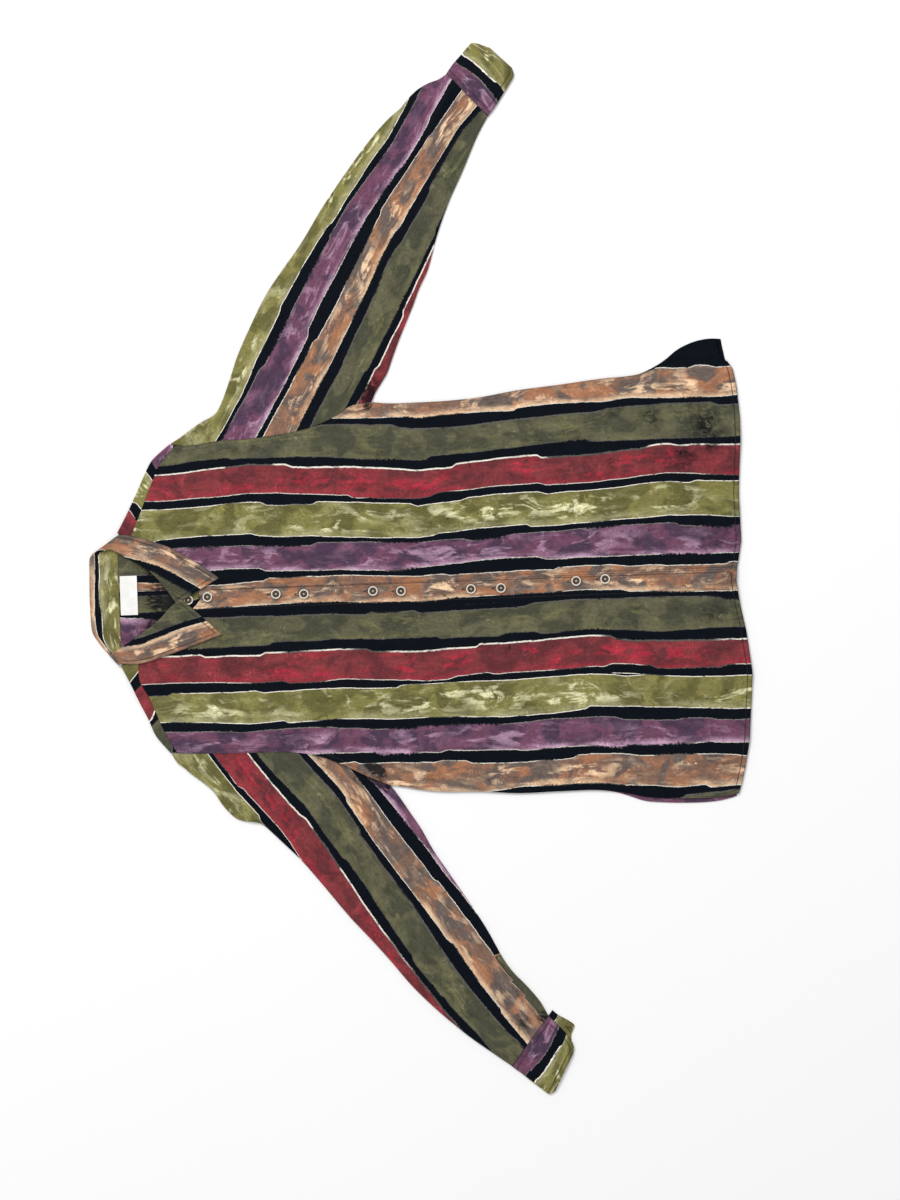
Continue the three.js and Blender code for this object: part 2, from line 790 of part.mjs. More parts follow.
// The neck label lies on the inside of the yoke.
function label() {
  const rows = [-0.5, -0.17, 0.17, 0.5];
  const columns = [-0.5, -0.25, 0, 0.25, 0.5];
  return wall(
    rows.map((across) =>
      columns.map((along) => {
        const [x, y] = [LABEL.x + LABEL.width * along, LABEL.y + LABEL.depth * across];
        return vector(x, y, yokeZ(x, y) + (WALL + LABEL.wall) / 2 + LABEL.lift);
      }),
    ),
    LABEL.wall,
  );
}

const shirt = new THREE.Group();

function add(name, geometry, color, roughness = 0.85, metalness = 0) {
  const mesh = new THREE.Mesh(geometry, new THREE.MeshStandardMaterial({ color, roughness, metalness }));
  mesh.name = name;
  shirt.add(mesh);
  return mesh;
}

const armholes = {
  left: spread(ARMHOLE_LEFT, ARMHOLE_POINTS),
  right: spread(ARMHOLE_RIGHT, ARMHOLE_POINTS),
};

add("back", back(), COLOURS.back);
add("yoke", yoke(), COLOURS.yoke);
add(
  "front_right",
  front(
    SIDE_RIGHT,
    armholes.right,
    SHOULDER_RIGHT,
    RIGHT_NECK_SECTIONS,
    RIGHT_FRONT_CORNER,
    FRONT_EDGE,
    SEAM / 2,
    rightFrontZ,
  ),
  COLOURS.right,
);
add(
  "front_left",
  front(
    SIDE_LEFT,
    armholes.left,
    SHOULDER_LEFT,
    LEFT_NECK_SECTIONS,
    LEFT_FRONT_CORNER,
    LEFT_FRONT_EDGE,
    -SEAM / 2,
    leftFrontZ,
  ),
  COLOURS.left,
);
add("sleeve_left", sleeve(armholes.left, SLEEVE_LEFT_OUTER, SLEEVE_LEFT_UNDER, SEAM / 2), COLOURS.leftSleeve);
add("sleeve_right", sleeve(armholes.right, SLEEVE_RIGHT_OUTER, SLEEVE_RIGHT_UNDER, -SEAM / 2), COLOURS.rightSleeve);
add("cuff_left", cuff(CUFF_LEFT), COLOURS.cuff);
add("cuff_right", cuff(CUFF_RIGHT), COLOURS.cuff);
add("collar_stand", collarStand(), COLOURS.stand);
add("collar_leaf", collarLeaf(), COLOURS.collar);
add("neck_label", label(), COLOURS.label, 0.7);

[{ ...TOP_BUTTON, z: TOP_BUTTON.z + WALL / 2 }, ...BUTTONS].forEach(({ x, y, z }, i) => {
  const mesh = add(`button_${String(i + 1).padStart(2, "0")}`, button(), COLOURS.button, 0.35);
  mesh.position.set(x, y, (z ?? seat(x, y)) + SEAM);
});

export default shirt;
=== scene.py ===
import math
import random

import bpy
from bpy.props import FloatProperty, FloatVectorProperty, IntProperty, PointerProperty
from mathutils import Matrix, Vector, noise


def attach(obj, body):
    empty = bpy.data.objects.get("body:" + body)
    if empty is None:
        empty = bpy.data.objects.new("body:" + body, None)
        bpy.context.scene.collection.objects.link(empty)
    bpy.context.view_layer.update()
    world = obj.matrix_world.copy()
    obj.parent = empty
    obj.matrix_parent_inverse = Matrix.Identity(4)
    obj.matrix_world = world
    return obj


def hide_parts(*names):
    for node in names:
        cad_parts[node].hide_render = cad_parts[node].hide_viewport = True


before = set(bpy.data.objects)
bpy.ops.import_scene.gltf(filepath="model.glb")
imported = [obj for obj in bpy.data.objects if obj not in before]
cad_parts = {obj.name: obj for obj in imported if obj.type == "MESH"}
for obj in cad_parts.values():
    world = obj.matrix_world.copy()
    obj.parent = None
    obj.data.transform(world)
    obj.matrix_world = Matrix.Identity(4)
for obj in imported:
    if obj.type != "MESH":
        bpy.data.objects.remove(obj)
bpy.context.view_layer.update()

bl_info = {
    "name": "Striped shirt",
    "version": (1, 0, 0),
    "blender": (4, 5, 0),
    "location": "3D View > Sidebar > Shirt",
    "description": "Dresses a shirt that lies flat in painted stripes, seams, stitching and buttons",
    "category": "Object",
}

# Sizes below are millimetres: +X to the wearer's left, +Y to the collar, z = 0 on the table.

# Cloth lies in layers, each WALL thick in the frame and SEAM apart
WALL = 1.2
SEAM = 0.3
LAYER = WALL + SEAM
ON_TABLE = WALL / 2
ON_BACK = ON_TABLE + LAYER
# Air under the upper layers, the share of it that stays at the hem, and the width in which they come down
FRONT_LOFT = 1.2
SLEEVE_LOFT = 2.4
CUFF_LOFT = 0.8
HEM_LOFT = 0.15
SIDE_FADE = 24
HEM_FADE = 22
# The neck opening: its back edge, its middle and half its size. The cloth rises to it between two distances
# and is calm nearer than a third, counted in half sizes
NECK_BACK = 360
NECK_MIDDLE = (-23, 325)
NECK_SIZE = (78, 72)
NECK_RISE = (1.75, 1.15)
NECK_CALM = 2.3
# The front edges, and where the right front steps up over the left one
FRONT_EDGE = -7
LEFT_FRONT_EDGE = -38
LAP_FROM = -62
LAP_TO = -46
LAP_LIFT = LAYER + 0.1
# Room in the collar's fold, its section at the middle of the back, and the sections over the yoke
FOLD_ROOM = 1.5
COLLAR_MIDDLE = 16
NECK_SECTIONS = (13, 19)
# Angles of the points round a fold, in degrees from level
HALF_ROUND = (90, 60, 30, 0, -30, -60, -90)
SHOULDER_ROUND = (-60, -30, 0, 30, 60, 90)
SLEEVE_ROUND = (67.5, 45, 22.5, 0, -22.5, -45, -67.5)
# Points across a sleeve's upper layer and along the sleeve, and across a cuff's layer
SLEEVE_COLUMNS = 34
SLEEVE_RINGS = 118
CUFF_COLUMNS = 22
# From here on along the right sleeve it is tucked: beyond the brown stripe green shows, squeezed
TUCK_FROM = 425
HALF_BROWN = 16
TUCK_STRIPE = 4.36
TUCK_PITCH = 34
# Width of cloth that one stripe's pitch takes on the collar's leaf and on its stand
LEAF_PITCH = 38
STAND_PITCH = 44
# The neck label's middle and half its size
LABEL_MIDDLE = (-16.3, 348.3)
LABEL_SIZE = (23.5, 10.25)
# Value of near_seam on a sewn edge, which falls by one for each millimetre away from it
NEAR = 20

# Sizes below are metres
STRIPE_PITCH = 0.045
# Where the back, the cuffs, the collar's leaf and its stand begin along the printed cloth
BACK_START = 0.9
CUFF_START = 0.3
LEAF_START = 1.7
STAND_START = 2.4
# A button's rounded edges, the slope inside its rim, its holes' distance from the middle, its thread bars
BUTTON_ROUND = 0.0003
DISH_SLOPE = 0.0005
HOLE_SPREAD = 0.0014
BAR_RADIUS = 0.00035
BAR_LIFT = 0.0002
# The stage, with the camera's turn in degrees and its sensor in millimetres
TABLE_SIZE = 40
LAMP_PLACE = (3.2, 1.8, 3.6)
LAMP_SIZE = 2.4
CAMERA_PLACE = (-0.0351, -0.0365)
CAMERA_TURN = -92
SENSOR = 36


def table(columns, *rows, **usual):
    """Rows with named columns. Columns that a row leaves out have their usual value."""
    names = columns.split()
    return [{**usual, **dict(zip(names, row))} for row in rows]


ARMHOLE_LEFT = table(
    "x y",
    (163.2, 292.5), (160.5, 272), (163, 250), (166, 228), (166, 203), (169, 172), (173, 143),
    (181, 113), (191, 92), (202, 74), (205.5, 50),
)
ARMHOLE_RIGHT = table(
    "x y",
    (-207, 303.5), (-208.5, 275), (-209.5, 240), (-210, 200), (-210.5, 168), (-213, 145),
    (-219, 120), (-227, 101), (-243, 70), (-254, 44),
)

# Side edges of the fronts, and of the back where it shows past them
SIDE_LEFT = table(
    "x y back_x",
    (205.5, 50, 205), (203.2, 29, 202.7), (203.1, -3, 202.6), (204, -45, 203.5), (207.3, -85, 206.8),
    (213.3, -124, 212.8), (218.5, -177, 218), (224, -228, 223.5), (226.5, -265, 226), (231, -285, 233),
    (239.5, -303, 243), (243.5, -320, 256), (245, -340, 264.5), (244, -358, 267.5), (240, -378, 266),
)
SIDE_RIGHT = table(
    "x y back_x",
    (-254, 44, -253.5), (-258, 22, -257.5), (-261.5, 5, -261), (-264.5, -20, -264), (-266, -65, -265.5),
    (-269.5, -111, -269), (-269, -160, -268.5), (-269, -205, -269), (-271.5, -228, -272.5),
    (-275, -245, -278), (-279, -262, -284), (-282, -290, -287), (-283, -325, -288.2),
    (-283, -350, -287), (-279, -374, -282),
)
HEM = table(
    "x y back_y",
    (-281, -374, -372), (-272, -377.3, -374), (-248, -383.6, -378), (-218, -389.6, -383),
    (-165, -394, -388), (-135, -396.2, -390), (-85, -390.5, -385), (-49, -383.6, -379),
    (-25, -380.6, -376), (-10, -381.5, -377), (1, -384, -379), (25, -388.2, -383), (80, -387, -382),
    (116, -389.3, -384), (145, -391.5, -386), (173, -391.5, -386), (208, -389, -383),
    (231, -385, -377), (240, -378.5, -372), (250, -370, -369.5), (266, -366.5, -366.5),
)
SHOULDER_LEFT = table(
    "edge_x edge_y seam_x seam_y",
    (163.3, 293.5, 161, 287), (153, 306.5, 147, 300), (141, 318, 135, 308.5),
    (112, 332.5, 106, 321), (84, 346.3, 79, 332.5), (59, 360, 53.4, 344),
)
SHOULDER_RIGHT = table(
    "edge_x edge_y seam_x seam_y",
    (-206.8, 305, -205, 298), (-186, 321.8, -180.5, 311.5), (-166.5, 330, -161, 319.5),
    (-145, 340.3, -139, 328.5), (-123, 350, -118, 339), (-100.5, 360.8, -92.5, 339),
)

# The collar, a row for each section from the left front round the back to the right
COLLAR = table(
    "roll_x roll_y edge_x edge_y stand turn lip rise sink",
    (-28, 291, 0.9, 238.9, 30, 180, 4, 0, 2), (-19, 297, 12, 253.5, 30, 180, 4, 0, 1), (-9, 304, 22.5, 269, 30),
    (2, 312.5, 32, 284, 29), (12, 322, 40.5, 299, 27), (20, 333, 46.5, 315, 24), (27, 345, 51.5, 330, 21),
    (34, 357, 55, 342, 20), (39.5, 368, 56.5, 351, 18.5), (37, 379, 55, 357, 23, 160, 5),
    (34.5, 384.5, 51.5, 360.5, 27.5, 135, 7), (31, 388.4, 49, 362, 29, 90, 8),
    (30.3, 391.3, 48, 363, 31, 45, 9), (27.5, 393.6, 45, 357, 36.5, 0, 9.5), (12, 394.2, 20, 352, 33.9, 0, 9.5),
    (-12, 394.9, -10, 351, 33.5, 0, 9.5), (-36, 394.8, -42, 351, 33.8, 0, 9.5),
    (-58, 393.2, -72, 352, 33.7, 0, 9.5), (-70, 386.7, -84, 352, 26.7, 0, 7),
    (-79.5, 379.6, -89.5, 358, 19, 0, 5.5), (-82, 375.3, -93, 364.5, 14.5, 45, 5),
    (-84, 372, -94, 363.5, 12, 90), (-84.5, 369.8, -95, 361, 12, 135), (-83.5, 367, -98, 354.5, 15),
    (-79.5, 360.5, -99, 345, 18), (-73, 350, -98, 334, 20), (-67, 340, -95.5, 322, 23),
    (-60, 330, -91.5, 310, 26), (-52, 318.5, -87.5, 297, 28), (-43, 308.5, -83, 284, 30),
    (-35, 301, -78, 269.5, 30, 180, 4, 0.8), (-28.5, 293.5, -72.5, 254, 30, 180, 4, 1.6),
    (-22.5, 285, -67, 238, 30, 180, 4, 1.6),
    turn=180, lip=4, rise=0, sink=0,
)
STAND_TAB = table("top_x top_y seam_x seam_y z", (-36, 278, -33, 268, 2.8), (-32, 283.5, -24, 264.2, 2.8))
LEFT_FRONT_CORNER = table("x y", (-24, 263.3), (-33, 263.2), (LEFT_FRONT_EDGE, 261))
RIGHT_FRONT_CORNER = table(
    "x y",
    (-42.8, 262.6), (-38.6, 267.1), (-34.2, 271.8), (-29.5, 267), (-23, 262), (-13, 258.5), (-8.5, 252),
)

SLEEVE_LEFT_OUTER = table(
    "x y",
    (163.6, 293), (170, 281.5), (178, 270.5), (188, 255.3), (195, 241), (200, 235.5), (212, 229),
    (238, 218.7), (265, 209), (300, 192.3), (340, 170.7), (370, 149), (400, 126.6), (440, 101),
    (480, 72), (520, 40.5), (545, 17), (556, 3.3), (570, -9), (580, -21), (586, -33), (590, -45), (596, -54),
)
SLEEVE_LEFT_UNDER = table(
    "x y",
    (205.7, 49), (216, 44.5), (230, 35.4), (240, 29.1), (260, 21.3), (280, 13.2), (300, 4.2),
    (320, -4.8), (340, -12.9), (360, -23.1), (380, -29.7), (400, -35.5), (440, -51), (480, -70.5),
    (520, -88.8), (543, -102),
)
SLEEVE_RIGHT_OUTER = table(
    "x y",
    (-207.2, 304), (-218, 298), (-225, 289), (-231, 283), (-240, 271.5), (-255, 255), (-271, 245),
    (-287, 230), (-291, 220), (-295, 199.5), (-307, 186), (-320, 173), (-341, 152.5), (-368, 130.5),
    (-412, 96), (-438, 73), (-464, 51), (-497, 24.6), (-530, -7.8), (-560, -42), (-577, -64.5), (-596.5, -91),
)
SLEEVE_RIGHT_UNDER = table(
    "x y",
    (-254.3, 43), (-262, 37), (-271, 31), (-290, 18.9), (-308, 7.5), (-334, -6), (-359, -21.9),
    (-400, -48.3), (-432, -67.5), (-469, -86.7), (-485, -98), (-500, -112), (-520, -128), (-537, -137),
)
CUFF_LEFT = table(
    "fold_x fold_y open_x open_y lap_x lap_y",
    (596, -54, 543, -102, 543.5, -101.5), (607, -62, 555, -111.6, 555.5, -111.1),
    (618, -72.3, 568, -120.3, 568.5, -119.8), (628, -81.5, 580, -128.3, 580.5, -127.8),
    (631.8, -88, 591, -134.6, 591.5, -134.1), (625, -107, 600.5, -132.5, 600.5, -132),
)
CUFF_RIGHT = table(
    "fold_x fold_y open_x open_y lap_x lap_y",
    (-596.5, -91, -537, -137, -531, -141.9), (-606, -103, -547, -146, -537.5, -149.5),
    (-615.5, -114, -556, -154.5, -545, -162), (-625, -126, -566, -162, -551, -168),
    (-631.5, -135, -575, -166, -560, -164), (-628, -142, -584, -165, -570, -163.5),
)

# Soft folds: the first ones are in the CAD too, and lean makes one side of a crease steeper
FOLDS = table(
    "x y to_x to_y width height lean",
    (-135, -400, -128, -210, 26, 1), (-205, -395, -222, -160, 18, 0.8), (150, -395, 138, -230, 28, 1),
    (60, -395, 72, -260, 18, 0.6), (-180, 250, -175, 120, 20, 0.7), (-222, 118, -160, 40, 13, 1),
    (178, 128, 120, 60, 14, 0.8), (120, 280, 118, 120, 22, 0.6), (-292, 206, -232, 214, 12, 1.2, 0.6),
    (-246, 74, -330, 60, 12, 0.9), (212, 62, 330, 60, 12, 0.9), (556, 2, 500, 10, 9, 0.9),
    (585, -50, 520, -40, 8, 0.9), (-590, -96, -500, -46, 10, 0.8),
    lean=0,
)

# Sharper creases and tucks placed where the cloth bunches
FRONT_CREASES = table(
    "x y to_x to_y width height lean",
    (-219, 102, -247, 48, 7, 4.4, -0.5), (-205, 92, -238, 40, 6, -0.6), (-200, 130, -150, 96, 9, 0.7, 0.5),
    (182, 112, 150, 84, 8, 0.8, 0.4), (195, 84, 150, 40, 9, 0.7, -0.4), (-190, -392, -196, -300, 9, 0.7, 0.4),
    (-60, -388, -66, -300, 8, 0.5, -0.4), (178, -385, 168, -290, 9, 0.7, 0.5),
    (212, -380, 196, -280, 8, 0.7, -0.5), (110, -385, 104, -310, 8, 0.5, 0.4), (30, -382, 34, -310, 8, 0.5),
    (150, 285, 128, 180, 12, 0.5, 0.4), (-196, 290, -170, 190, 12, 0.5, -0.4), (60, 240, 80, 120, 14, 0.4, 0.3),
    (-110, 230, -90, 90, 14, 0.4, -0.3), (150, -60, 160, -180, 12, 0.4, 0.4),
    (-220, -40, -230, -190, 12, 0.5, 0.4), (80, -80, 96, -220, 14, 0.3),
    lean=0,
)
SLEEVE_CREASES = table(
    "x y to_x to_y width height lean",
    (576, -58, 470, 12, 5, 1.6, 0.6), (556, -88, 492, -28, 5, 1.3, -0.5), (566, -20, 500, 22, 6, 1.1, 0.5),
    (590, -62, 540, -40, 4, 1, 0.4), (440, 40, 360, 96, 9, 0.8, 0.5), (350, 60, 260, 110, 10, 0.8, -0.4),
    (236, 40, 300, 34, 7, 1.2, 0.5), (222, 60, 262, 74, 7, 1.1, -0.5), (214, 190, 270, 150, 10, 0.9, 0.4),
    (420, -20, 470, -46, 7, 0.8), (-262, 52, -300, 20, 6, 1.4, 0.5), (-250, 78, -300, 66, 7, 1.2, -0.5),
    (-238, 100, -262, 52, 5, -1.2), (-292, 206, -240, 220, 7, 1, 0.6), (-270, 238, -224, 262, 8, 0.9, 0.5),
    (-572, -92, -500, -30, 5, 1.4, 0.5), (-556, -116, -490, -66, 5, 1.2, -0.5),
    (-545, -132, -505, -108, 4, 1, 0.4), (-440, 20, -360, 84, 9, 0.8, 0.5), (-400, -20, -330, 26, 8, 0.8, -0.4),
    (-500, -20, -430, 40, 8, 0.7, 0.4),
    lean=0,
)

# Faint dark patches on the fronts, mostly near the hem, and in the last three rows painted shade in the deep gaps
# under the arms
FRONT_PATCHES_AND_SHADE = table(
    "x y size strength",
    (176, -284, 13, 0.8), (168, -350, 20, 1), (128, -322, 15, 0.9), (122, -235, 9, 0.6), (142, -356, 12, 0.8),
    (-62, -356, 15, 0.5), (70, -330, 11, 0.4), (28, -365, 18, 0.4), (-20, -372, 12, 0.5), (-235, -350, 14, 0.4),
    (60, -372, 20, 0.3), (186, -240, 10, 0.5), (-231, 66, 5, 5), (-238, 55, 5, 5), (200, 54, 4, 2),
)
# Deep shade under the arms, where the sleeve tucks in
SLEEVE_SHADE = table(
    "x y size strength",
    (-243, 76, 6, 6), (-251, 58, 6, 6), (-258, 47, 5, 3), (211, 50, 7, 7), (219, 55, 5, 3), (228, 46, 6, 1.6),
    (-538, -132, 7, 1.5), (556, -8, 9, 0.8), (-548, -104, 9, 0.8),
)

# The same inside the neck, where the collar and the fronts meet
NECK_SHADE = table(
    "x y size strength",
    (-21, 292, 17, 5), (-22, 312, 15, 1.6), (12, 316, 10, 2), (24, 334, 8, 1), (-56, 318, 10, 2), (-70, 338, 8, 1),
)

# Where the middle of each painted stripe lies across the fronts, at several heights
FRONT_STRIPES = table(
    "at 5 4 3 2 1 0 -1 -2 -3 -4 -5",
    (300, 196, 152, 111, 65.5, 23, -24, -64, -110.5, -155, -200, -246),
    (200, 199, 161.5, 116, 69, 25, -20.5, -63.5, -109.5, -159, -202, -247),
    (100, 200, 163.5, 112, 65, 23, -19, -61.5, -106, -153, -200.5, -245),
    (0, 199.5, 155.5, 107, 60.5, 18, -23, -62.5, -111.5, -157.5, -198.5, -246),
    (-100, 204.5, 160, 114.5, 67, 23.5, -19.5, -60.5, -108, -156, -203.5, -248),
    (-200, 211.5, 168.5, 117.5, 71, 27.5, -16.5, -57.5, -103.5, -152, -198, -247),
    (-300, 218, 171, 124.5, 78, 28.5, -17.5, -60.5, -110, -158.5, -201, -251.5),
    (-375, 218, 169.5, 122, 73, 26, -18.5, -62, -108.5, -160, -205, -250),
)
# The same along the sleeves, across from the under seam to the shoulder side
LEFT_SLEEVE_STRIPES = table(
    "at 3 2 1 0 -1 -2",
    (84, 405, 307, 267, 222, 186, 150), (163, 400, 316, 269, 224, 185, 147), (255, 376, 313, 272, 229, 189, 150),
    (345, 350, 309, 273, 233, 196, 156), (437, 340, 299, 262, 232, 198, 160), (490, 342, 300, 262, 228, 195, 158),
    (530, 346, 305, 266, 220, 186, 152),
)
RIGHT_SLEEVE_STRIPES = table(
    "at 2 3 4 5 6",
    (76, 354, 309, 266, 226, 191), (147, 345, 305, 258, 219, 187), (239, 350, 309, 261, 219, 181),
    (336, 350, 311, 264, 220, 177), (439, 352, 311, 267, 222, 177), (522, 345, 304, 260, 219, 175),
)
CUFF_STRIPES = table(
    "depth stripe under",
    (0, 0.8, 1.45), (14, 1.2, 1.56), (16, 1.26, 1.68), (18, 1.38, 1.75), (33, 1.57, 1.95), (35, 1.68, 2),
    (50, 2.15, 2.15), (60, 2.3, 2.3),
)
BACK_STRIPES = table(
    "at 10 9 8 7 6 5 4 3 2 1 0 -1 -1.4 -1.6 -2",
    (0, -236, -192, -150, -103, -60, -17, 24.5, 69, 116, 159, 192, 216, 234, 282, 300),
)

# The yoke's narrower stripes that show inside the neck, and its two joins
YOKE_JUMPS = (-14.8, -38.5)
NECK_STRIPES = table(
    "x stripe",
    (-100, 6.95), (-80, 6.37), (-44.5, 5.67), (-38.51, 5.5), (-38.49, 3.5), (-33, 3.62), (-19.5, 4.38),
    (-14.81, 4.5), (-14.79, 5.5),
    (-10.6, 5.36), (-3.4, 4.66), (8.6, 4.4), (24.5, 4), (66, 3),
)

BUTTON_PLACES = [
    (-21.4, 254), (-20.7, 171.9), (-21.8, 138.4), (-21.1, 55.5), (-22.3, 21.9),
    (-22.8, -62.1), (-22.9, -98.1), (-17.6, -188.4), (-16.4, -223.2),
]
TOP_BUTTON = (-24.2, 277.2, 2.8)

# How each stripe is painted: half its width and the step of its frayed edge, then the strength of the
# outlines at its low and high edge, of light marks inside and at the edge, of dark patches and of a veil
PAINT = table(
    "stripe half fray low_line high_line light rim deep veil",
    ("brown", 0.35, 0.8, 0.8, 0.9, 0.95, 0.75, 1, 0.7),
    ("purple", 0.33, 1.4, 0.7, 0.25, 0.6, 0.95, 0.9),
    ("olive", 0.405, 0.5, 1, 1, 1, 0.25, 0.6),
    ("red", 0.345, 0.6, 0.75, 0.95, 0.6, 0.35, 0.65, 0.2),
    ("green", 0.38, 1.1, 0.1, 0.12, 0.5, 0.35, 0.8),
    veil=0,
)
FRAY_EDGE = 0.06
LINE_WIDTH = 0.024
TONE_EDGE = 0.012

# Noise in the cloth: how fine it is across and along the stripes, and its kind
NOISE = table(
    "use across along detail roughness distortion",
    ("fray", 300, 340, 3, 0.75), ("broken line", 260, 90, 3, 0.7), ("brush", 165, 24, 5, 0.7, 0.5),
    ("cloudy", 62, 26, 4, 0.62, 0.9), ("patches", 34, 27, 2, 0.55, 0.5), ("haze", 27, 13), ("veil", 38, 14, 3, 0.6),
    ("grain", 330, 210, 5, 0.75), ("coarse grain", 95, 60), ("curls", 26, 26, 1, 0.5, 2.2), ("sprays", 16, 16),
    ("figure shade", 70, 70), ("slub", 900, 300), ("broken smudge", 130, 95, 4, 0.7, 0.8),
    detail=2, roughness=0.55, distortion=0,
)
# Noise that runs along one edge of one stripe only
EDGE_NOISE = table(
    "use rate seed detail",
    ("wave", 7, 1.3), ("jump", 5.5, 5.1), ("ripple", 34, 9.7, 3), ("outline", 8, 3.9),
    detail=1,
)
JUMP_SIZE = 0.003
RIPPLE_SIZE = 0.003


def srgb(code):
    """A colour written as six hex digits, as the linear red, green and blue that Blender uses."""
    parts = [int(code[i : i + 2], 16) / 255 for i in (0, 2, 4)]
    return tuple(c / 12.92 if c <= 0.04045 else ((c + 0.055) / 1.055) ** 2.4 for c in parts)


def colour(name, code, words):
    """A colour property from six hex digits."""
    return FloatVectorProperty(
        name=name, description=words, subtype="COLOR", size=3, min=0, max=1, default=srgb(code)
    )


def length(name, millimetres, words):
    """A length property from millimetres."""
    return FloatProperty(
        name=name, description=words, unit="LENGTH", min=0, precision=5, default=millimetres / 1000
    )


class ShirtCloth(bpy.types.PropertyGroup):
    brown: colour("Brown", "A87557", "Brown stripe and placket")
    brown_light: colour("Brown, light", "F6D0A9", "Light tan brush marks in the brown stripe")
    brown_dark: colour("Brown, dark", "6A5D57", "Grey brown patches in the brown stripe")
    purple: colour("Purple", "70495F", "Purple stripe")
    purple_light: colour("Purple, light", "C29BB6", "Pink brush marks in the purple stripe")
    purple_dark: colour("Purple, dark", "4A394E", "Grey purple patches")
    olive: colour("Olive", "837E4A", "Olive stripe")
    olive_light: colour("Olive, light", "E4E0B4", "Pale brush marks in the olive stripe")
    olive_dark: colour("Olive, dark", "4D4A2B", "Darker patches in the olive stripe")
    red: colour("Red", "863B3F", "Dark red stripe")
    red_light: colour("Red, light", "C02F44", "Bright brush marks in the red stripe")
    red_dark: colour("Red, dark", "512C30", "Darker patches in the red stripe")
    green: colour("Dark green", "615F49", "Dark green stripe")
    green_light: colour("Dark green, light", "7C7A52", "Lighter brush marks in the dark green stripe")
    green_dark: colour("Dark green, dark", "45463A", "Darker patches in the dark green stripe")
    ground: colour("Ground", "060C15", "Near black ground between the stripes")
    line: colour("Outline", "FBF5E8", "Thin cream outlines of the stripes")
    wander: length("Wander", 10, "How far a painted edge wanders along its stripe")
    ragged: length("Ragged", 7, "How ragged the painted edges are")
    thickness: length("Cloth", 0.7, "Thickness of one layer of cloth")
    doubled: length("Doubled cloth", 1.1, "Thickness of collar and cuffs")
    thread_pitch: length("Thread pitch", 0.45, "Distance between threads of the weave")
    crease: FloatProperty(name="Creases", description="Depth of the small creases", default=1, min=0, max=3)


class ShirtSewing(bpy.types.PropertyGroup):
    stitch: length("Stitch", 2.0, "Length of one stitch that shows")
    gap: length("Gap", 0.9, "Distance between two stitches")
    thread: length("Thread", 0.5, "Thickness of the sewing thread")
    inset: length("Inset", 6, "Distance of the stitching from a hem or front edge")
    thread_colour: colour("Thread colour", "1E1916", "Dark sewing thread")


class ShirtButtons(bpy.types.PropertyGroup):
    radius: length("Radius", 5.7, "Half the width of a button")
    height: length("Height", 2.2, "Height of a button")
    rim: length("Rim", 1.25, "Width of the raised rim")
    dish: length("Dish", 0.8, "Depth of the dished middle")
    hole: length("Hole", 0.75, "Radius of each of the four holes")
    sides: IntProperty(name="Sides", description="Sides of the round outline", default=40, min=12, max=96)
    horn: colour("Horn", "4E3D30", "Brown horn of the buttons")
    rim_highlight: colour("Rim", "F0EADD", "Pale worn rim")
    # A pale highlight painted on the top of each button's rim
    thread_colour: colour("Thread colour", "B5AA98", "Thread that sews the buttons on")


class ShirtStage(bpy.types.PropertyGroup):
    height: FloatProperty(name="Camera height", description="Camera above the table", default=6, unit="LENGTH")
    frame_height: FloatProperty(
        name="Frame", description="Height of the view on the table", default=1.44, unit="LENGTH"
    )
    lamp: FloatProperty(name="Lamp", description="Power of the large soft lamp", default=165, unit="POWER")
    sky: FloatProperty(name="Sky", description="Strength of the even white light", default=0.66, min=0)


def ramp(start, end, value):
    """A smooth step from 0 at start to 1 at end, which may lie either way round."""
    t = min(max((value - start) / (end - start), 0.0), 1.0)
    return t * t * (3 - 2 * t)


def mix(a, b, t):
    return a + (b - a) * t


def steps(start, end, count):
    return [mix(start, end, i / (count - 1)) for i in range(count)]


def crown(part):
    """Height across a flattened tube: 0 at both sides and nearly level between."""
    return 1 - (2 * part - 1) ** 4


def plan(row, kind=""):
    """The place in plan that a table's row names."""
    return Vector((row[kind + "x"], row[kind + "y"], 0))


def level(direction):
    """A direction laid level, one long."""
    return Vector((direction.x, direction.y, 0)).normalized()


def look_up(rows, key, value, wanted):
    """The wanted column where the key column has this value, straight between rows."""
    rows = rows if rows[-1][key] > rows[0][key] else rows[::-1]
    if value <= rows[0][key]:
        return rows[0][wanted]
    for before, after in zip(rows, rows[1:]):
        if value <= after[key]:
            return mix(before[wanted], after[wanted], (value - before[key]) / (after[key] - before[key]))
    return rows[-1][wanted]


def row_at(rows, place, straight=()):
    """The row at a fractional place in a table, smooth from row to row."""
    i = min(int(place), len(rows) - 2)
    t = place - i
    found = {}
    for key in rows[0]:
        a, b, c, d = (rows[min(max(i + k, 0), len(rows) - 1)][key] for k in (-1, 0, 1, 2))
        if i == 0:
            a = 2 * b - c
        if i == len(rows) - 2:
            d = 2 * c - b
        bend, twist = 2 * a - 5 * b + 4 * c - d, 3 * b - a - 3 * c + d
        smooth = 0.5 * (2 * b + (c - a) * t + bend * t * t + twist * t**3)
        found[key] = mix(b, c, t) if key in straight else smooth
    return found


def spaced(points, count):
    """Points at even distances along a line of points."""
    far = [0.0]
    for a, b in zip(points, points[1:]):
        far.append(far[-1] + (b - a).length)
    out, k = [], 0
    for i in range(count):
        want = far[-1] * i / (count - 1)
        while k < len(far) - 2 and far[k + 1] < want:
            k += 1
        out.append(points[k].lerp(points[k + 1], (want - far[k]) / max(far[k + 1] - far[k], 1e-9)))
    return out


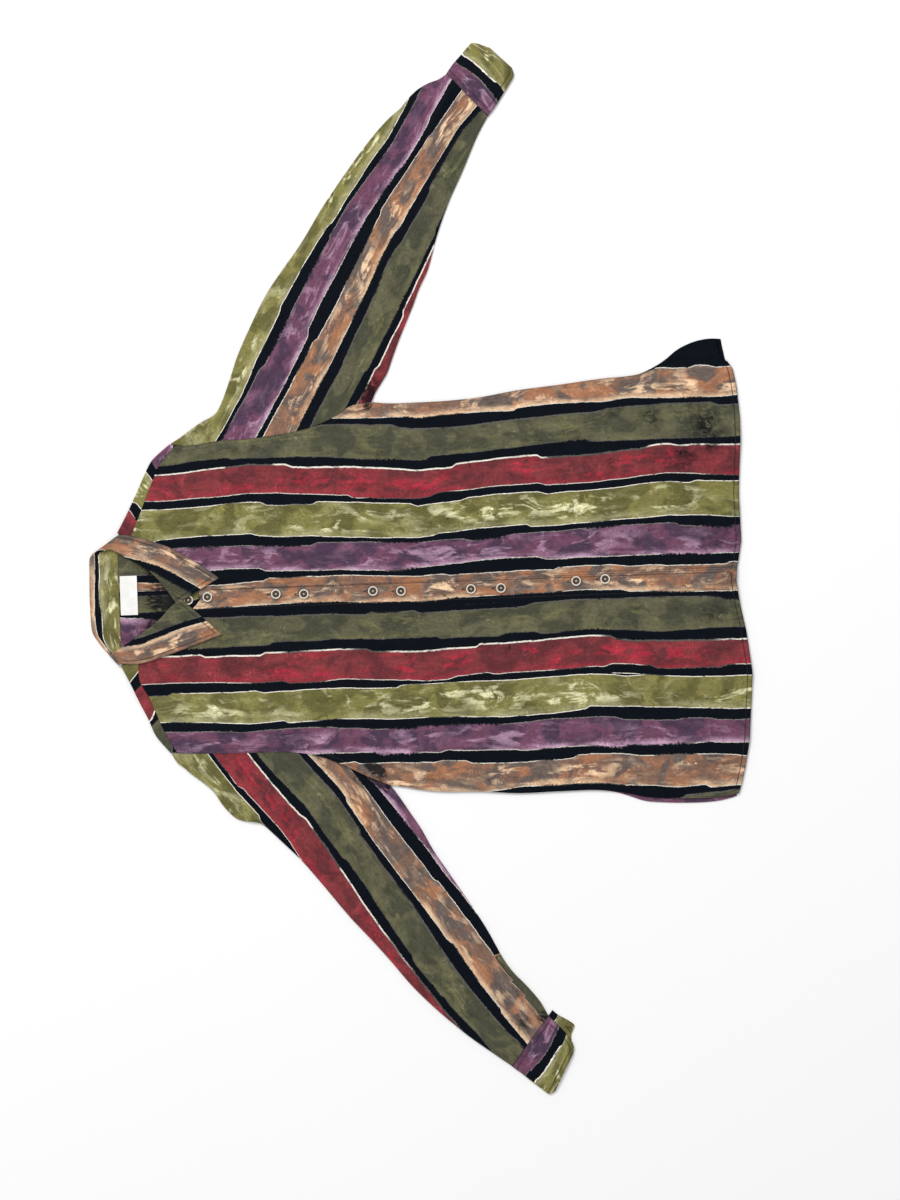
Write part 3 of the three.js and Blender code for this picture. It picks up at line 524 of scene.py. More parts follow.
def smooth_line(rows, count, x="x"):
    """Evenly spaced points on a centripetal curve through a table's rows."""
    points = [Vector((row[x], row["y"], 0)) for row in rows]
    points = [points[0] * 2 - points[1], *points, points[-1] * 2 - points[-2]]
    dense = []
    for a, b, c, d in zip(points, points[1:], points[2:], points[3:]):
        ab, bc, cd = (b - a).length ** 0.5, (c - b).length ** 0.5, (d - c).length ** 0.5
        start = ((b - a) / ab - (c - a) / (ab + bc) + (c - b) / bc) * bc
        end = ((c - b) / bc - (d - b) / (bc + cd) + (d - c) / cd) * bc
        bend, twist = 3 * (c - b) - 2 * start - end, 2 * (b - c) + start + end
        for t in (k / 12 for k in range(12)):
            dense.append(b + start * t + bend * t**2 + twist * t**3)
    dense.append(points[-2])
    return spaced(dense, count)


def moved(points, distance):
    """A line of points moved sideways in plan, to its left for a positive distance."""
    out = []
    for i, point in enumerate(points):
        along = level(points[min(i + 1, len(points) - 1)] - points[max(i - 1, 0)])
        out.append(point + Vector((-along.y, along.x, 0)) * distance)
    return out


def groove(away, width, depth):
    """Depth of the groove that a row of stitches presses, at a distance away from it."""
    return depth * math.exp(-((away / width) ** 2))


def round_fold(edge, out, low, radius, angles):
    """Centre of a fold that reaches an edge of the outline from a layer at low, and points round it."""
    centre = edge - out * (radius + WALL / 2)
    centre.z = low + radius
    turns = [math.radians(angle) for angle in angles]
    return centre, [centre + out * radius * math.cos(a) + Vector((0, 0, radius * math.sin(a))) for a in turns]


def fold_height(rows, x, y):
    """How far the folds in a table lift the cloth at a place."""
    total = 0.0
    for row in rows:
        dx, dy = row["to_x"] - row["x"], row["to_y"] - row["y"]
        size = dx * dx + dy * dy
        t = min(max(((x - row["x"]) * dx + (y - row["y"]) * dy) / size, 0), 1)
        ox, oy = x - row["x"] - dx * t, y - row["y"] - dy * t
        away = math.hypot(ox, oy)
        side = 1 if dx * oy - dy * ox > 0 else -1
        away /= row["width"] * (1 + row["lean"] * side)
        if away < 3:
            total += row["height"] * math.exp(-away * away)
    return total


def dark_patches_and_shade(piece, rows):
    """Writes how dark the painted shade and the dark patches in a table make each point of a piece."""
    marks = piece.data.attributes.new("dark_patches_and_shade", "FLOAT", "POINT")
    for vertex, mark in zip(piece.data.vertices, marks.data):
        x, y = vertex.co.x * 1000, vertex.co.y * 1000
        far = [math.hypot(x - row["x"], y - row["y"]) / row["size"] for row in rows]
        mark.value = sum(row["strength"] * math.exp(-distance * distance) for row, distance in zip(rows, far))


def hem_y(x, column="y"):
    return look_up(HEM, "x", x, column)


def inside_side(x, y):
    """How far a place lies inside the side edge of its front."""
    return abs(look_up(SIDE_LEFT if x > 0 else SIDE_RIGHT, "y", y, "x")) - abs(x)


def from_neck(x, y):
    """Distance from the middle of the neck opening, 1 at its edge."""
    return math.hypot((x - NECK_MIDDLE[0]) / NECK_SIZE[0], (y - NECK_MIDDLE[1]) / NECK_SIZE[1])


def left_front_z(x, y):
    """Middle of the front layer where nothing laps under it."""
    from_side = max(ramp(0, SIDE_FADE, inside_side(x, y)), ramp(40, 90, y))
    from_hem = mix(HEM_LOFT, 1, ramp(0, HEM_FADE, y - hem_y(x)))
    loft = FRONT_LOFT * from_hem + fold_height(FOLDS, x, y) * ramp(330, 260, y)
    return ON_BACK + 0.1 + (loft - 0.1) * from_side + LAYER * ramp(*NECK_RISE, from_neck(x, y))


def right_front_z(x, y):
    """Middle of the right front's layer, which laps over the left one."""
    return left_front_z(x, y) + LAP_LIFT * ramp(LAP_FROM, LAP_TO, x)


def yoke_z(x, y):
    """Middle of the yoke's lower layer, which rises over the back's seam at the neck."""
    return ON_TABLE + LAYER * ramp(322, 337, y) * ramp(*NECK_RISE, from_neck(x, NECK_MIDDLE[1]))


def small_creases(x, y, seed):
    """Uneven small wrinkles, a few tenths of a millimetre high."""
    wide = noise.noise(Vector((x / 46, y / 70, seed)))
    fine = noise.noise(Vector((x / 15 + wide, y / 24, seed + 7)))
    return 0.3 * wide + 0.16 * fine


def collar_place(place, far, layer):
    """A point of the collar at a fractional section, far from its roll, on the stand's layer or the leaf's."""
    row = row_at(COLLAR, place, straight=("turn", "rise"))
    roll = plan(row, "roll_")
    spot = roll + (plan(row, "edge_") - roll).normalized() * far
    right = place > COLLAR_MIDDLE
    front = right_front_z(spot.x, spot.y) if right else left_front_z(spot.x, spot.y)
    front += LAYER * layer + row["rise"] * (1 - ramp(0, row["stand"], far))
    behind = ON_BACK - LAYER * layer
    turn = math.radians(min(max(row["turn"], 0), 180))
    half = (front - behind) / 2
    spot.x += (-1 if right else 1) * (half + FOLD_ROOM * layer) * math.sin(turn)
    spot.z = behind + half * (1 - math.cos(turn))
    return spot


def leaf_size(row):
    return math.hypot(row["edge_x"] - row["roll_x"], row["edge_y"] - row["roll_y"])


def leaf_width(place):
    return leaf_size(row_at(COLLAR, place))


def neck_seam(place):
    """How far the stand's seam lies from the roll."""
    row = row_at(COLLAR, place, straight=("turn",))
    flat = 1 - min(max(row["turn"], 0) / 45, 1)
    drop = row["roll_y"] - row["edge_y"]
    behind = (row["roll_y"] - NECK_BACK) * leaf_size(row) / drop if flat else 0
    return mix(row["stand"], behind, flat)


def stripe_at(rows, at, across):
    """Stripe number at a place across the cloth, from where the stripes' middles lie."""
    names = [key for key in rows[0] if key != "at"]
    middles = [(look_up(rows, "at", at, key), float(key)) for key in names]
    middles.sort()
    if across <= middles[0][0]:
        a, b = middles[0], middles[1]
    elif across >= middles[-1][0]:
        a, b = middles[-2], middles[-1]
    else:
        a, b = next(pair for pair in zip(middles, middles[1:]) if across <= pair[1][0])
    return a[1] + (b[1] - a[1]) * (across - a[0]) / (b[0] - a[0])


def front_uv(point):
    return stripe_at(FRONT_STRIPES, point.y, point.x) * STRIPE_PITCH, point.y / 1000


def back_uv(point):
    return stripe_at(BACK_STRIPES, 0, point.x) * STRIPE_PITCH, BACK_START + point.y / 1000


def neck_uv(point):
    return look_up(NECK_STRIPES, "x", point.x, "stripe") * STRIPE_PITCH, BACK_START + point.y / 1000


def away():
    bpy.ops.object.select_all(action="DESELECT")


def choose(obj):
    away()
    obj.select_set(True)
    bpy.context.view_layer.objects.active = obj


def apply_modifiers(obj):
    choose(obj)
    for modifier in list(obj.modifiers):
        bpy.ops.object.modifier_apply(modifier=modifier.name)


def linked(name, data):
    """A new object in the scene."""
    made = bpy.data.objects.new(name, data)
    bpy.context.collection.objects.link(made)
    return made


def enter(piece, replaced=None):
    """Enters a piece in the part: it rides on root, and may replace a solid."""
    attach(piece, "root")
    if replaced:
        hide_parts(replaced)


def lay_sheet(name, grid, uv, near=None, wrap=False, marks=(), thickness=0, replaced=None):
    """Builds a piece of cloth from a grid of points, which may close into a tube. Empty places have no cloth.

    near says how close each point lies to a sewn edge: NEAR on the edge, less inside. One layer of cloth
    is the usual thickness, and the usual solid that a piece replaces has its name.
    """
    wide = len(grid[0])
    vertices, index = [], {}
    for j, row in enumerate(grid):
        for i, point in enumerate(row):
            if point is not None:
                index[j, i] = len(vertices)
                vertices.append(point / 1000)
    faces, coordinates = [], []
    for j in range(len(grid) - 1):
        for i in range(wide if wrap else wide - 1):
            corners = [(j, i), (j, i + 1), (j + 1, i + 1), (j + 1, i)]
            keys = [(a, b % wide) for a, b in corners]
            if all(key in index for key in keys):
                faces.append([index[key] for key in keys])
                coordinates.extend(uv[a][b] for a, b in corners)
    mesh = bpy.data.meshes.new("shirt_" + name)
    mesh.from_pydata(vertices, [], faces)
    layer = mesh.uv_layers.new(name="cloth")
    for corner, pair in zip(layer.data, coordinates):
        corner.uv = pair
    if near:
        closeness = mesh.attributes.new("near_seam", "FLOAT", "POINT")
        for (j, i), k in index.items():
            closeness.data[k].value = near[j][i]
    if max(mesh.polygons, key=lambda face: face.center.z).normal.z < 0:
        mesh.flip_normals()
    piece = linked("shirt_" + name, mesh)
    solid = piece.modifiers.new("thickness", "SOLIDIFY")
    solid.thickness = thickness or bpy.context.scene.shirt_cloth.thickness
    solid.offset = 0
    solid.use_even_offset = False
    apply_modifiers(piece)
    mesh.shade_smooth()
    bpy.ops.object.shade_smooth_by_angle(angle=math.radians(50))
    mesh.materials.append(striped_cloth())
    enter(piece, replaced or name)
    # Painted shade, and on the fronts dark patches, written as darkness at each point
    if marks:
        dark_patches_and_shade(piece, marks)
    return piece


def set_inputs(made, **inputs):
    """Gives a node values or other nodes' outputs. a_b stands for the socket 'A B', and _2 for the third."""
    for key, value in inputs.items():
        label = key.replace("_", " ").title().replace("Ior", "IOR")
        socket = made.inputs[int(key[1:])] if key[0] == "_" else made.inputs[label]
        if isinstance(value, bpy.types.NodeSocket):
            made.id_data.links.new(value, socket)
        else:
            socket.default_value = value


def node(tree, kind, settings=None, **inputs):
    """Adds a shader node."""
    made = tree.nodes.new(kind)
    for key, value in (settings or {}).items():
        setattr(made, key, value)
    set_inputs(made, **inputs)
    return made


def tree_of(values):
    """The node tree of the first of these values that is a socket."""
    return next(value.id_data for value in values if isinstance(value, bpy.types.NodeSocket))


def calc(operation, *values):
    inputs = {f"_{i}": value for i, value in enumerate(values)}
    return node(tree_of(values), "ShaderNodeMath", {"operation": operation}, **inputs).outputs[0]


def times(a, b):
    return calc("MULTIPLY", a, b)


def plus(a, b):
    return calc("ADD", a, b)


def minus(a, b):
    return calc("SUBTRACT", a, b)


def centred(value):
    return minus(value, 0.5)


def band(value, low, high):
    """Smooth step of a value between two limits."""
    smooth = {"interpolation_type": "SMOOTHSTEP"}
    return node(value.id_data, "ShaderNodeMapRange", smooth, _0=value, _1=low, _2=high, _3=0.0, _4=1.0).outputs[0]


def blend(factor, a, b, kind="MIX"):
    """Blends two colours, each a socket or red, green and blue."""
    pair = [value if isinstance(value, bpy.types.NodeSocket) else (*value[:3], 1) for value in (a, b)]
    settings = {"data_type": "RGBA", "blend_type": kind}
    return node(tree_of((factor, a, b)), "ShaderNodeMix", settings, _0=factor, _6=pair[0], _7=pair[1]).outputs[2]


def new_group(name, inputs, outputs):
    """A shader node group with named sockets, and its input and output nodes."""
    kinds = {"Cloth": "NodeSocketVector", "Color": "NodeSocketColor"}
    group = bpy.data.node_groups.new(name, "ShaderNodeTree")
    for direction, labels in (("INPUT", inputs), ("OUTPUT", outputs)):
        for label in labels:
            group.interface.new_socket(label, in_out=direction, socket_type=kinds.get(label, "NodeSocketFloat"))
    return group, group.nodes.new("NodeGroupInput"), group.nodes.new("NodeGroupOutput")


def split(vector):
    parts = node(vector.id_data, "ShaderNodeSeparateXYZ", vector=vector)
    return parts.outputs[0], parts.outputs[1]


def cloud(vector, detail, roughness=0.55, distortion=0.0):
    """Noise at a place."""
    return node(
        vector.id_data, "ShaderNodeTexNoise",
        vector=vector, scale=1.0, detail=detail, roughness=roughness, distortion=distortion,
    ).outputs["Fac"]


def cloth_noise(u, v, use):
    """One of the cloth's noises, stretched across and along the stripes."""
    row = next(row for row in NOISE if row["use"] == use)
    spot = node(u.id_data, "ShaderNodeCombineXYZ", x=times(u, row["across"]), y=times(v, row["along"]))
    return cloud(spot.outputs[0], row["detail"], row["roughness"], row["distortion"])


def piece_noise(tree, scale, detail, *shape):
    """Noise on a piece's own coordinates."""
    place = node(tree, "ShaderNodeTexCoord").outputs["Object"]
    return cloud(node(tree, "ShaderNodeMapping", vector=place, scale=scale).outputs[0], detail, *shape)


def attribute(tree, name):
    return node(tree, "ShaderNodeAttribute", {"attribute_name": name}).outputs["Fac"]


def grey(value):
    return (value, value, value, 1)


def stripe_ramp(place, pick):
    """A stepped ramp over the five stripes. pick gives ground, low edge, middle, high edge and the edges' width."""
    made = node(place.id_data, "ShaderNodeValToRGB", _0=place)
    scale = made.color_ramp
    scale.interpolation = "CONSTANT"
    stops = []
    for middle_at, row in enumerate(PAINT):
        ground, low, middle, high, edge = pick(row)
        start, end = middle_at + 0.5 - row["half"], middle_at + 0.5 + row["half"]
        stops += [(middle_at, ground), (start - edge, low), (start, middle), (end, high), (end + edge, ground)]
    scale.elements[0].position, scale.elements[0].color = 0, stops[0][1]
    for position, value in stops[1:]:
        scale.elements.new(min(position / 5, 0.9999)).color = value
    scale.elements.remove(scale.elements[-1])
    return made.outputs[0]


def painted_stripes():
    """Group that paints the five stripes with outlines, brush marks and ragged edges."""
    if "Painted stripes" in bpy.data.node_groups:
        return bpy.data.node_groups["Painted stripes"]
    cloth = bpy.context.scene.shirt_cloth
    tree, start, end = new_group("Painted stripes", ["Cloth", "Wander", "Ragged"], ["Color"])
    u, v = split(start.outputs["Cloth"])

    def clouds(use):
        return cloth_noise(u, v, use)

    half_stripe = calc("FLOOR", calc("DIVIDE", u, STRIPE_PITCH / 2))

    def along_edge(use):
        """Noise that runs along one edge of one stripe only."""
        row = next(row for row in EDGE_NOISE if row["use"] == use)
        spot = node(
            tree, "ShaderNodeCombineXYZ", x=times(half_stripe, 3.7), y=times(v, row["rate"]), z=row["seed"]
        )
        return cloud(spot.outputs[0], row["detail"])

    wave = times(centred(along_edge("wave")), start.outputs["Wander"])
    jump = times(centred(band(along_edge("jump"), 0.485, 0.515)), JUMP_SIZE)
    ripple = times(centred(along_edge("ripple")), RIPPLE_SIZE)
    fray = times(centred(clouds("fray")), start.outputs["Ragged"])
    smooth_u = plus(plus(u, wave), plus(jump, ripple))

    def turn(value):
        """Place in the round of five stripes, from 0 to 1."""
        return calc("FRACT", calc("DIVIDE", plus(value, STRIPE_PITCH / 2), 5 * STRIPE_PITCH))

    outlined = band(along_edge("outline"), 0.4, 0.44)
    amount = stripe_ramp(turn(smooth_u), lambda row: (*[grey(row["fray"])] * 4, FRAY_EDGE))
    amount = times(amount, minus(1.1, times(outlined, 0.75)))
    place = turn(plus(smooth_u, times(fray, amount)))
    within = centred(calc("FRACT", times(place, 5.0)))
    ground = (*cloth.ground, 1)

    def tone(kind):
        """The stripes in their main colours, or in the light or dark ones, on the ground."""
        return stripe_ramp(
            place, lambda row: (ground, ground, (*getattr(cloth, row["stripe"] + kind), 1), ground, TONE_EDGE)
        )

    def shares(*columns):
        """Values for each stripe's low edge, middle and high edge, and black between the stripes."""
        return stripe_ramp(place, lambda row: (grey(0), *(grey(row.get(key, 0)) for key in columns), LINE_WIDTH))

    lines = times(shares("low_line", None, "high_line"), plus(0.12, times(outlined, 0.88)))
    lines = times(lines, band(clouds("broken line"), 0.28, 0.5))
    brush, cloudy, haze = centred(clouds("brush")), clouds("cloudy"), clouds("haze")
    middle = band(calc("ABSOLUTE", within), 0.36, 0.12)
    edge = band(plus(within, times(centred(cloudy), 0.34)), -0.16, -0.34)
    light = times(band(plus(cloudy, times(brush, 0.35)), 0.5, 0.63), shares(None, "light", None))
    light = times(light, plus(0.35, times(middle, 0.65)))
    light = times(light, plus(0.15, times(band(haze, 0.4, 0.6), 0.85)))
    rim = times(times(edge, shares(None, "rim", None)), band(plus(haze, times(brush, 0.4)), 0.36, 0.56))
    dark = times(band(plus(clouds("patches"), times(brush, 0.22)), 0.44, 0.56), shares(None, "deep", None))
    veil = times(band(clouds("veil"), 0.42, 0.56), shares(None, "veil", None))
    painted = blend(calc("MAXIMUM", dark, veil), tone(""), tone("_dark"))
    painted = blend(calc("MAXIMUM", light, rim), painted, tone("_light"))
    grain = plus(times(centred(clouds("grain")), 1.25), times(brush, 0.75))
    grain = plus(grain, times(centred(clouds("coarse grain")), 0.55))
    painted = blend(1.0, painted, plus(1.0, grain), "MULTIPLY")
    set_inputs(end, color=blend(times(lines, 0.95), painted, cloth.line))
    return tree


def figured_weave():
    """Group for the weave: fine threads and a faint woven figure of curling leaves."""
    if "Figured weave" in bpy.data.node_groups:
        return bpy.data.node_groups["Figured weave"]
    tree, start, end = new_group("Figured weave", ["Cloth", "Thread Pitch"], ["Height", "Tone", "Figure"])
    u, v = split(start.outputs["Cloth"])
    turns = calc("DIVIDE", 2 * math.pi, start.outputs["Thread Pitch"])
    threads = times(calc("SINE", times(u, turns)), calc("SINE", times(v, turns)))
    leaves = calc("ABSOLUTE", calc("SINE", times(cloth_noise(u, v, "curls"), 34.0)))
    drawn = times(band(leaves, 0.42, 0.1), band(cloth_noise(u, v, "sprays"), 0.4, 0.55))
    shaded = minus(cloth_noise(u, v, "figure shade"), 0.46)
    tone = plus(1.0, times(centred(cloth_noise(u, v, "slub")), 0.22))
    tone = plus(plus(tone, times(times(drawn, shaded), 3.6)), times(threads, 0.02))
    set_inputs(end, height=plus(times(threads, 0.25), times(drawn, 0.9)), tone=tone, figure=drawn)
    return tree


def new_material(name):
    """A material with its node tree and its main shader."""
    material = bpy.data.materials.new(name)
    material.use_nodes = True
    tree = material.node_tree
    return material, tree, tree.nodes["Principled BSDF"]


def woven(tree, pitch, strength, distance):
    """Cloth coordinates, the weave's group node and the bump that the weave makes."""
    uv = node(tree, "ShaderNodeUVMap", {"uv_map": "cloth"}).outputs[0]
    weave = node(tree, "ShaderNodeGroup", {"node_tree": figured_weave()}, cloth=uv, thread_pitch=pitch)
    bump = node(tree, "ShaderNodeBump", height=weave.outputs["Height"], strength=strength, distance=distance)
    return uv, weave, bump.outputs[0]


def striped_cloth():
    """The painted cloth, darker at dark patches, with painted shade under the arms, in the neck and at the cuffs,
    and along sewn edges and the rows of stitches.
    """
    if "striped cloth" in bpy.data.materials:
        return bpy.data.materials["striped cloth"]
    cloth = bpy.context.scene.shirt_cloth
    material, tree, shader = new_material("striped cloth")
    uv, weave, bump = woven(tree, cloth.thread_pitch, 0.5, 0.00025)
    stripes = {"node_tree": painted_stripes()}
    stripes = node(tree, "ShaderNodeGroup", stripes, cloth=uv, wander=cloth.wander, ragged=cloth.ragged)
    shade = blend(1.0, stripes.outputs["Color"], weave.outputs["Tone"], "MULTIPLY")
    # Painted shade under the arms, in the neck and at the cuffs, and dark patches on the fronts, broken up by noise
    broken = plus(band(cloth_noise(*split(uv), "broken smudge"), 0.38, 0.62), 0.16)
    marks = calc("MINIMUM", times(attribute(tree, "dark_patches_and_shade"), broken), 0.88)
    shade = blend(marks, shade, cloth.ground)
    # Painted shade along the sewn edges and along the rows of stitches 6 mm in, for the turned edges and the
    # stitches' grooves, with their dark thread
    far = minus(NEAR, attribute(tree, "near_seam"))
    row = band(calc("ABSOLUTE", minus(far, 6.0)), 1.0, 0.35)
    seam_shade = calc("MAXIMUM", times(band(far, 1.3, 0.3), 0.6), times(row, 0.55))
    set_inputs(
        shader, base_color=blend(seam_shade, shade, cloth.ground), normal=bump,
        roughness=plus(0.62, times(weave.outputs["Figure"], 0.14)),
        specular_ior_level=0.06, sheen_weight=0.02, sheen_roughness=0.45,
    )
    return material


def white_tape():
    """The bare woven label."""
    material, tree, shader = new_material("white tape")
    uv, weave, bump = woven(tree, 0.0006, 0.4, 0.0001)
    soft = cloud(node(tree, "ShaderNodeMapping", vector=uv, scale=(160, 60, 1)).outputs[0], 3.0)
    warm = blend(soft, srgb("E9E8E4"), srgb("F6F5F1"))
    shade = blend(0.5, warm, weave.outputs["Tone"], "MULTIPLY")
    set_inputs(shader, base_color=shade, roughness=plus(0.4, times(soft, 0.2)), normal=bump)
    return material


def sewing_thread(name, colour):
    """Twisted thread of a colour."""
    if name in bpy.data.materials:
        return bpy.data.materials[name]
    material, tree, shader = new_material(name)
    twist = piece_noise(tree, (2600, 2600, 2600), 2.0)
    shade = blend(twist, colour, [min(c * 2.2, 1) for c in colour])
    set_inputs(shader, base_color=shade, roughness=plus(0.5, times(twist, 0.25)))
    return material


def dark_thread():
    return sewing_thread("sewing thread", bpy.context.scene.shirt_sewing.thread_colour)


def horn():
    """Streaked brown horn, with a pale highlight painted on the top of its rim."""
    buttons = bpy.context.scene.shirt_buttons
    material, tree, shader = new_material("horn")
    streaks = piece_noise(tree, (700, 260, 900), 4.0, 0.6, 1.2)
    body = blend(band(streaks, 0.35, 0.65), [c * 0.55 for c in buttons.horn], buttons.horn)
    highlight = blend(band(streaks, 0.2, 0.7), [c * 0.7 for c in buttons.rim_highlight], buttons.rim_highlight)
    shade = blend(attribute(tree, "rim"), body, highlight)
    set_inputs(shader, base_color=shade, roughness=plus(0.22, times(streaks, 0.2)), specular_ior_level=0.5)
    return material


def side_edge(rows, x, y, armhole, inward, seam_y, corner, count):
    """A panel's side from the hem up and round its armhole, to a corner at the shoulder seam."""
    low = smooth_line(rows, 100, x)[::-1]
    low[0].y = hem_y(low[0].x, y)
    high = [p for p in moved(armhole, inward)[::-1] if p.y < seam_y - 2]
    return spaced(low[:-1] + high + [corner], count)


def patch(bottom, top, first, last, height):
    """Points between four edges, with a height at each place."""
    grid = []
    for v, left, right in zip(steps(0, 1, len(first)), first, last):
        line = []
        for u, low, high in zip(steps(0, 1, len(bottom)), bottom, top):
            corners = bottom[0].lerp(bottom[-1], u).lerp(top[0].lerp(top[-1], u), v)
            point = low.lerp(high, v) + left.lerp(right, u) - corners
            line.append(Vector((point.x, point.y, height(point.x, point.y))))
        grid.append(line)
    return grid


def lay_back():
    """The back panel flat on the table."""
    sides = []
    for side, rows, inward in (("right", SIDE_RIGHT, SEAM / 2), ("left", SIDE_LEFT, -SEAM / 2)):
        seam = SEAM_ENDS[side]
        corner = Vector((seam.x + inward, seam.y - SEAM / 2, 0))
        sides.append(side_edge(rows, "back_x", "back_y", ARMHOLES[side], inward, seam.y, corner, 150))
    right, left = sides
    top = [right[-1].lerp(left[-1], t) for t in steps(0, 1, 46)]
    hem = [Vector((x, hem_y(x, "back_y"), 0)) for x in steps(right[0].x, left[0].x, 46)]
    grid = patch(hem, top, right, left, lambda x, y: ON_TABLE)
    uv = [[back_uv(point) for point in row] for row in grid]
    lay_sheet("back", grid, uv, marks=NECK_SHADE)


def shoulder_columns(rows, count):
    """The yoke over one shoulder, by columns: where each fold begins, points to the seam and their layout."""
    columns = []
    for place in steps(0, len(rows) - 1, count):
        row = row_at(rows, place)
        ahead, behind = row_at(rows, min(place + 0.3, len(rows) - 1)), row_at(rows, max(place - 0.3, 0))
        edge, seam = plan(row, "edge_"), plan(row, "seam_")
        tangent = level(plan(ahead, "edge_") - plan(behind, "edge_"))
        out = (edge - seam).normalized()
        seam += out * SEAM / 2
        seam.z = left_front_z(seam.x, seam.y)
        low = yoke_z(edge.x, edge.y)
        centre, over = round_fold(edge, out, low, (seam.z - low) / 2, SHOULDER_ROUND)
        over += [over[-1].lerp(seam, t) for t in (0.2, 0.4, 0.6, 0.8, 1)]
        pairs = []
        for point in over:
            offset = Vector((point.x, point.y, 0)) - edge
            along = tangent * offset.dot(tangent)
            pairs.append(back_uv(edge + along - (offset - along)))
        columns.append((Vector((centre.x, centre.y, low)), over, pairs))
    return columns


def lay_yoke():
    """The yoke behind the neck, folded forward over both shoulders."""
    neck = [collar_place(place, neck_seam(place), 0).x for place in steps(*NECK_SECTIONS, 30)]
    neck = sorted(neck + [x + side for x in YOKE_JUMPS for side in (0.01, -0.01)], reverse=True)
    empty = [None] * (len(SHOULDER_ROUND) + 5)
    neck = [(Vector((x, NECK_BACK - SEAM, ON_BACK)), empty, empty) for x in neck]
    columns = shoulder_columns(SHOULDER_LEFT, 30) + neck + shoulder_columns(SHOULDER_RIGHT, 30)[::-1]
    start, end = columns[0][0].x, columns[-1][0].x
    grid, uv = [], []
    for top, over, pairs in columns:
        part = (top.x - start) / (end - start)
        seam = SEAM_ENDS["left"].lerp(SEAM_ENDS["right"], part)
        seam = Vector((seam.x - (0.5 - part) * SEAM * 2, seam.y + SEAM / 2, 0))
        if over is empty:
            seam.x = top.x
        rise = []
        for t in steps(0, 1, 26):
            x, y = mix(seam.x, top.x, t), mix(seam.y, top.y, t)
            rise.append(Vector((x, y, mix(yoke_z(x, y), top.z, ramp(0.9, 1, t)))))
        grid.append(rise + over)
        uv.append([neck_uv(point) if over is empty else back_uv(point) for point in rise] + pairs)
    near = [[NEAR * (i in (0, len(row) - 1)) for i in range(len(row))] for row in grid]
    lay_sheet("yoke", grid, uv, near, marks=NECK_SHADE)


def front_surface(height, edge_x, seed):
    """Height of a front with its small creases, calm at the neck, the front edge, the hem and the side."""

    def surface(x, y):
        calm = ramp(NECK_RISE[0], NECK_CALM, from_neck(x, y))
        calm *= ramp(0, 14, abs(x - edge_x)) * ramp(0, 10, y - hem_y(x))
        calm *= max(ramp(0, 10, inside_side(x, y)), ramp(40, 70, y))
        crease = small_creases(x, y, seed) + fold_height(FRONT_CREASES, x, y)
        return max(height(x, y) + bpy.context.scene.shirt_cloth.crease * crease * calm, ON_BACK)

    return surface


def lay_front(name, side_rows, armhole, shoulder_rows, sections, corner, edge_x, inward, height, seed):
    """A front from its side to its front edge, cut out round the neck."""
    seam = []
    for place in steps(0, len(shoulder_rows) - 1, 28):
        row = row_at(shoulder_rows, place)
        edge, sewn = plan(row, "edge_"), plan(row, "seam_")
        seam.append(sewn - (edge - sewn).normalized() * SEAM / 2)
    neck = []
    for place in steps(*sections, 30):
        spot = collar_place(place, neck_seam(place) + SEAM, 0)
        neck.append(Vector((spot.x, spot.y, 0)))
    points = [neck[-1]] + [plan(row) for row in corner]
    turn = [a.lerp(b, t) for a, b in zip(points, points[1:]) for t in (0.25, 0.5, 0.75, 1)]
    top = seam + neck + turn
    side = side_edge(side_rows, "x", "y", armhole, inward, seam[0].y, seam[0], 160)
    across = [mix(side[0].x, edge_x, (point.x - top[0].x) / (top[-1].x - top[0].x)) for point in top]
    hem = [Vector((x, hem_y(x), 0)) for x in across]
    edge = [hem[-1].lerp(top[-1], t) for t in steps(0, 1, len(side))]
    grid = patch(hem, top, side, edge, front_surface(height, edge_x, seed))
    uv = [[front_uv(point) for point in row] for row in grid]
    near = [[NEAR - min(p.y - hem_y(p.x), abs(edge_x - p.x), NEAR) for p in row] for row in grid]
    for row in near:
        row[0] = NEAR
    lay_sheet(name, grid, uv, near, marks=FRONT_PATCHES_AND_SHADE)


